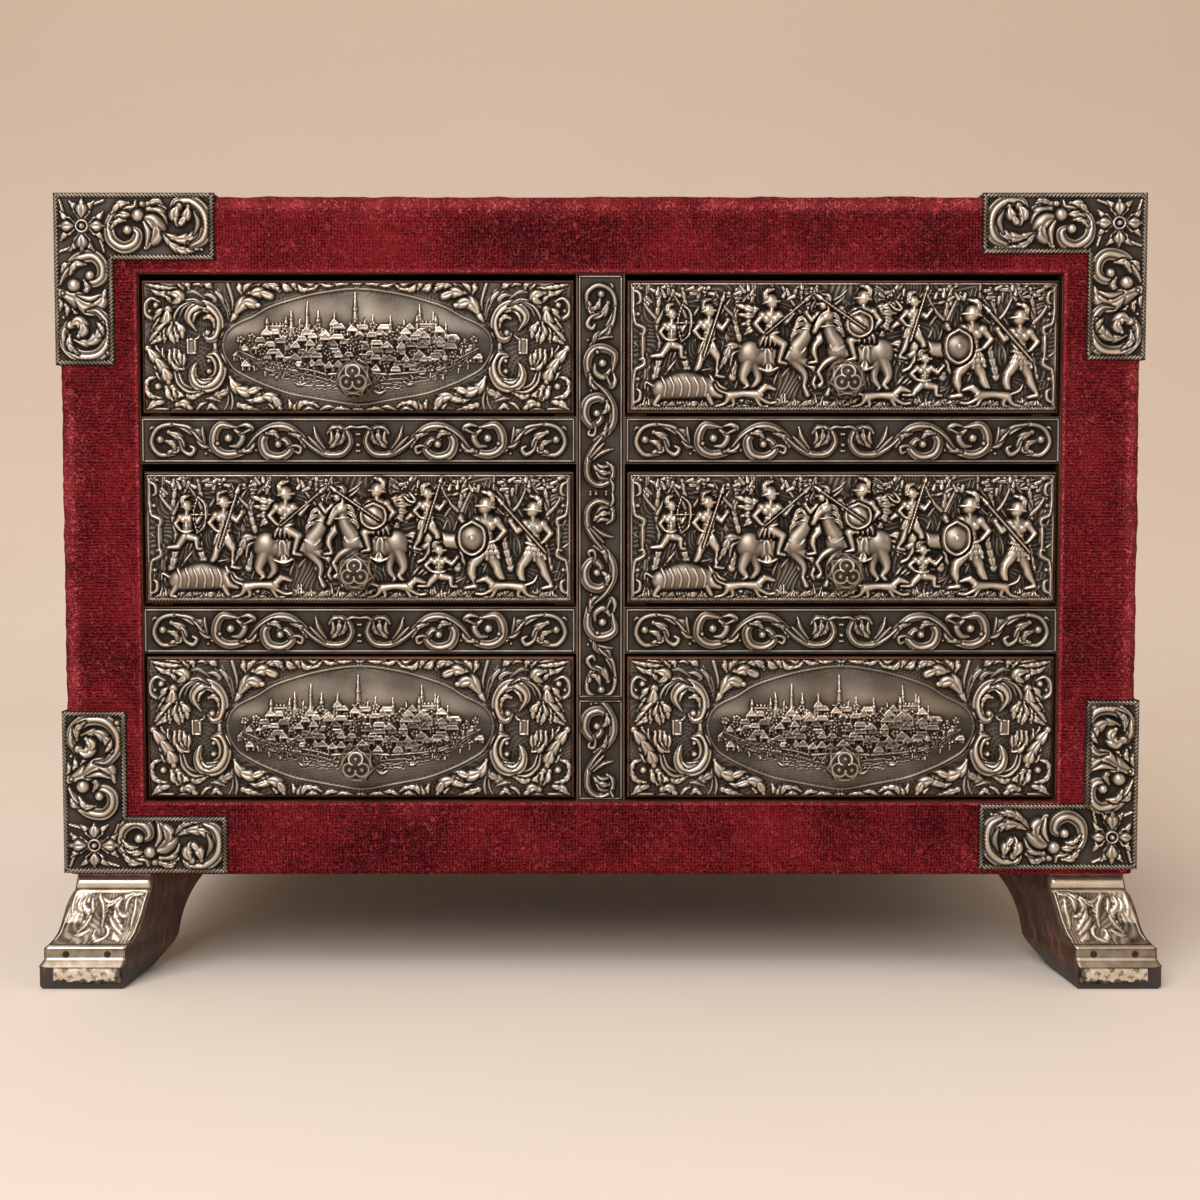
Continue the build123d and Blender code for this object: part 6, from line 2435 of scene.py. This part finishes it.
# ------------------------------------------------------------------ the whole
@dataclass
class Cabinet:
    """The whole cabinet, built from the inside out."""

    panels: dict[str, Panel] = field(
        default_factory=lambda: {
            "upper_left": Panel.TOWN,
            "upper_right": Panel.HUNT,
            "middle_left": Panel.HUNT,
            "middle_right": Panel.HUNT,
            "lower_left": Panel.TOWN,
            "lower_right": Panel.TOWN,
        }
    )

    def woodwork(self) -> None:
        """Dresses the boards, drawers, coin boards, pins and nails."""
        drawers = [f"{name}_drawer_" for name in self.panels]
        coin_boards = [f"{name}_coin_board" for name in self.panels]
        for finish, nodes in (
            (
                PlanedWood(name="walnut_upright", along=2),
                ["left_side_board", "right_side_board", "centre_partition"],
            ),
            (
                PlanedWood(name="walnut_lengthwise"),
                [
                    "top_board", "bottom_board", "back_board", "left_divider_rails",
                    "right_divider_rails",
                ],
            ),
            (
                PlanedWood(name="walnut_front_to_back", along=1),
                ["left_dust_boards", "right_dust_boards"],
            ),
            (
                PlanedWood(
                    name="walnut_drawer_front", dark="#371f11", middle="#5c381f", light="#7d512f",
                    ring_mm=2.6,
                ),
                [f"{name}front" for name in drawers],
            ),
            (
                PlanedWood(
                    name="stained_walnut_feet", dark="#180c06", middle="#462817", light="#7a4c30",
                    along=2, ring_mm=2.4, roughness=0.55, coat=0.06, grime_mm=6.0,
                ),
                ["feet"],
            ),
            (
                PlanedWood(
                    name="oak_linings", dark="#6b4a2b", middle="#97714a", light="#b8925f", along=1,
                    ring_mm=2.2, roughness=0.62, coat=0.0,
                ),
                [name + part for name in drawers for part in ("sides_and_back", "bottom")],
            ),
            (
                PlanedWood(
                    name="limewood_coin_boards", dark="#8d6a45", middle="#b08c62",
                    light="#c9a87c", ring_mm=4.0, roughness=0.6, coat=0.0,
                ),
                coin_boards,
            ),
            (
                SpeckledMetal("silver_pins", ((0.32, "#5c5248"), (0.62, "#cfc3b0"))),
                ["mount_pins"],
            ),
            (
                SpeckledMetal(
                    "forged_iron", ((0.35, "#1d1713"), (0.55, "#3a2a20"), (0.75, "#6b4d38")),
                    speck_mm=0.6, detail=4.0, broken=0.7, dent_mm=0.2, dents=0.6, metallic=0.6,
                    roughness=0.6,
                ),
                ["foot_nails"],
            ),
        ):
            dress(nodes, finish.make())

    def silver(self) -> None:
        """Builds every chased piece."""
        silver = OxidisedSilver().make()
        for name, panel in self.panels.items():
            DrawerSilver().plaque(name, panel, silver)
        knobs = OxidisedSilver(name="oxidised_silver_knobs", tarnish=0.12, roughness=0.34).make()
        for name in self.panels:
            KnobWork().build(name, knobs)
        for column in ("left", "right"):
            RailSilver().rails(column, silver)
        RailSilver().stile("upper_stile_plate", 0.0, silver)
        RailSilver().stile("lower_stile_plate", 33.0, silver)
        for name, bar, post, bar_width, post_width in (
            ("upper_left", 47.7, 50.8, 19.8, 17.7),
            ("upper_right", 48.9, 49.3, 18.0, 17.7),
            ("lower_left", 49.5, 49.2, 17.3, 19.4),
            ("lower_right", 48.0, 51.4, 20.0, 16.2),
        ):
            CornerMount(
                name=name, bar=bar, post=post, bar_width=bar_width, post_width=post_width,
                side=-1 if "left" in name else 1, top=1 if "upper" in name else -1,
            ).build(silver)
        worn = OxidisedSilver(
            name="rubbed_silver_feet", pit="#2c2620", ground="#5f564b", slope="#968b7c",
            shoulder="#b8ae9f", crest="#e2dacc", tarnish=0.6, tarnish_mm=4.5, roughness=0.34,
        ).make()
        FootSilver().build(worn)

    def build(self) -> None:
        """Builds and dresses the whole cabinet."""
        self.woodwork()
        self.silver()
        VelvetCover().build(CrimsonVelvet().make())


@dataclass
class Studio:
    """A paper floor that curves up behind, one large lamp above the front and a pale room."""

    lens: float = 60.0
    camera_place: tuple[float, float, float] = (-0.00015, -0.7159, 0.15415)
    camera_pitch: float = 3.597
    power: float = 16.2
    daylight: str = "#fffdff"
    room: float = 0.46
    room_colour: str = "#fbe0c2"

    def paper(self) -> None:
        """Lays the paper: a floor that sweeps up into a wall."""
        paper = bmesh.new()
        bend, wall = 0.75, 1.3
        line = [paper.verts.new((-4, -3, 0)), paper.verts.new((-4, wall - bend, 0))]
        for angle in np.linspace(0, math.pi / 2, 25)[1:]:
            place = (-4, wall - bend + bend * math.sin(angle), bend - bend * math.cos(angle))
            line.append(paper.verts.new(place))
        line.append(paper.verts.new((-4, wall, 4)))
        edges = [paper.edges.new(pair) for pair in zip(line, line[1:])]
        for vertex in grow(paper, edges)[0]:
            vertex.co.x = 4
        bmesh.ops.recalc_face_normals(paper, faces=paper.faces)
        smoothed(paper.faces)
        mesh = bpy.data.meshes.new("studio_floor")
        paper.to_mesh(mesh)
        paper.free()
        mesh.materials.append(StudioPaper().make())
        floor = bpy.data.objects.new("studio_floor", mesh)
        bpy.context.scene.collection.objects.link(floor)

    def lamp(
        self, name: str, place: tuple[float, float, float], size: float, power: float
    ) -> None:
        """Hangs a square soft lamp that looks at the cabinet.

        Args:
            name: its name.
            place: where it hangs.
            size: the length of its side.
            power: its power in watts.
        """
        light = bpy.data.lights.new(name, "AREA")
        light.size = size
        light.energy = power
        light.color = linear(self.daylight)[:3]
        lamp = bpy.data.objects.new(name, light)
        lamp.location = place
        aim = Vector((0, 0, 0.12)) - Vector(place)
        lamp.rotation_euler = aim.to_track_quat("-Z", "Y").to_euler()
        bpy.context.scene.collection.objects.link(lamp)

    def build(self) -> None:
        """Sets up the floor, lamps, room and camera."""
        scene = bpy.context.scene
        scene.view_settings.view_transform = "Standard"
        self.paper()
        for name, place, size, share in (
            ("key_lamp", (-0.55, -1.55, 1.1), 1.1, 1.27),
            ("side_lamp", (1.5, -0.9, 0.9), 0.8, 0.15),
            ("floor_lamp", (-0.3, 0.35, 1.2), 0.9, 0.1),
            ("low_lamp", (-0.2, -2.1, 0.55), 1.3, 0.46),
            ("high_lamp", (-0.3, -1.0, 1.7), 0.9, 0.3),
        ):
            self.lamp(name, place, size, self.power * share)
        world = bpy.data.worlds.new("pale_room")
        world.use_nodes = True
        room = world.node_tree.nodes["Background"]
        feed(room, {"Color": linear(self.room_colour), "Strength": self.room})
        scene.world = world
        lens = bpy.data.cameras.new("camera")
        lens.lens = self.lens
        lens.sensor_width = 36
        lens.clip_start = 0.01
        camera = bpy.data.objects.new("camera", lens)
        camera.location = self.camera_place
        camera.rotation_euler = (math.radians(90 - self.camera_pitch), 0, 0)
        scene.collection.objects.link(camera)
        scene.camera = camera


def main() -> None:
    """Builds the studio and the cabinet."""
    logging.basicConfig(level=logging.INFO, format="%(name)s: %(message)s")
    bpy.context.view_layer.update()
    Studio().build()
    Cabinet().build()
    bpy.context.view_layer.update()


if __name__ == "__main__":
    main()
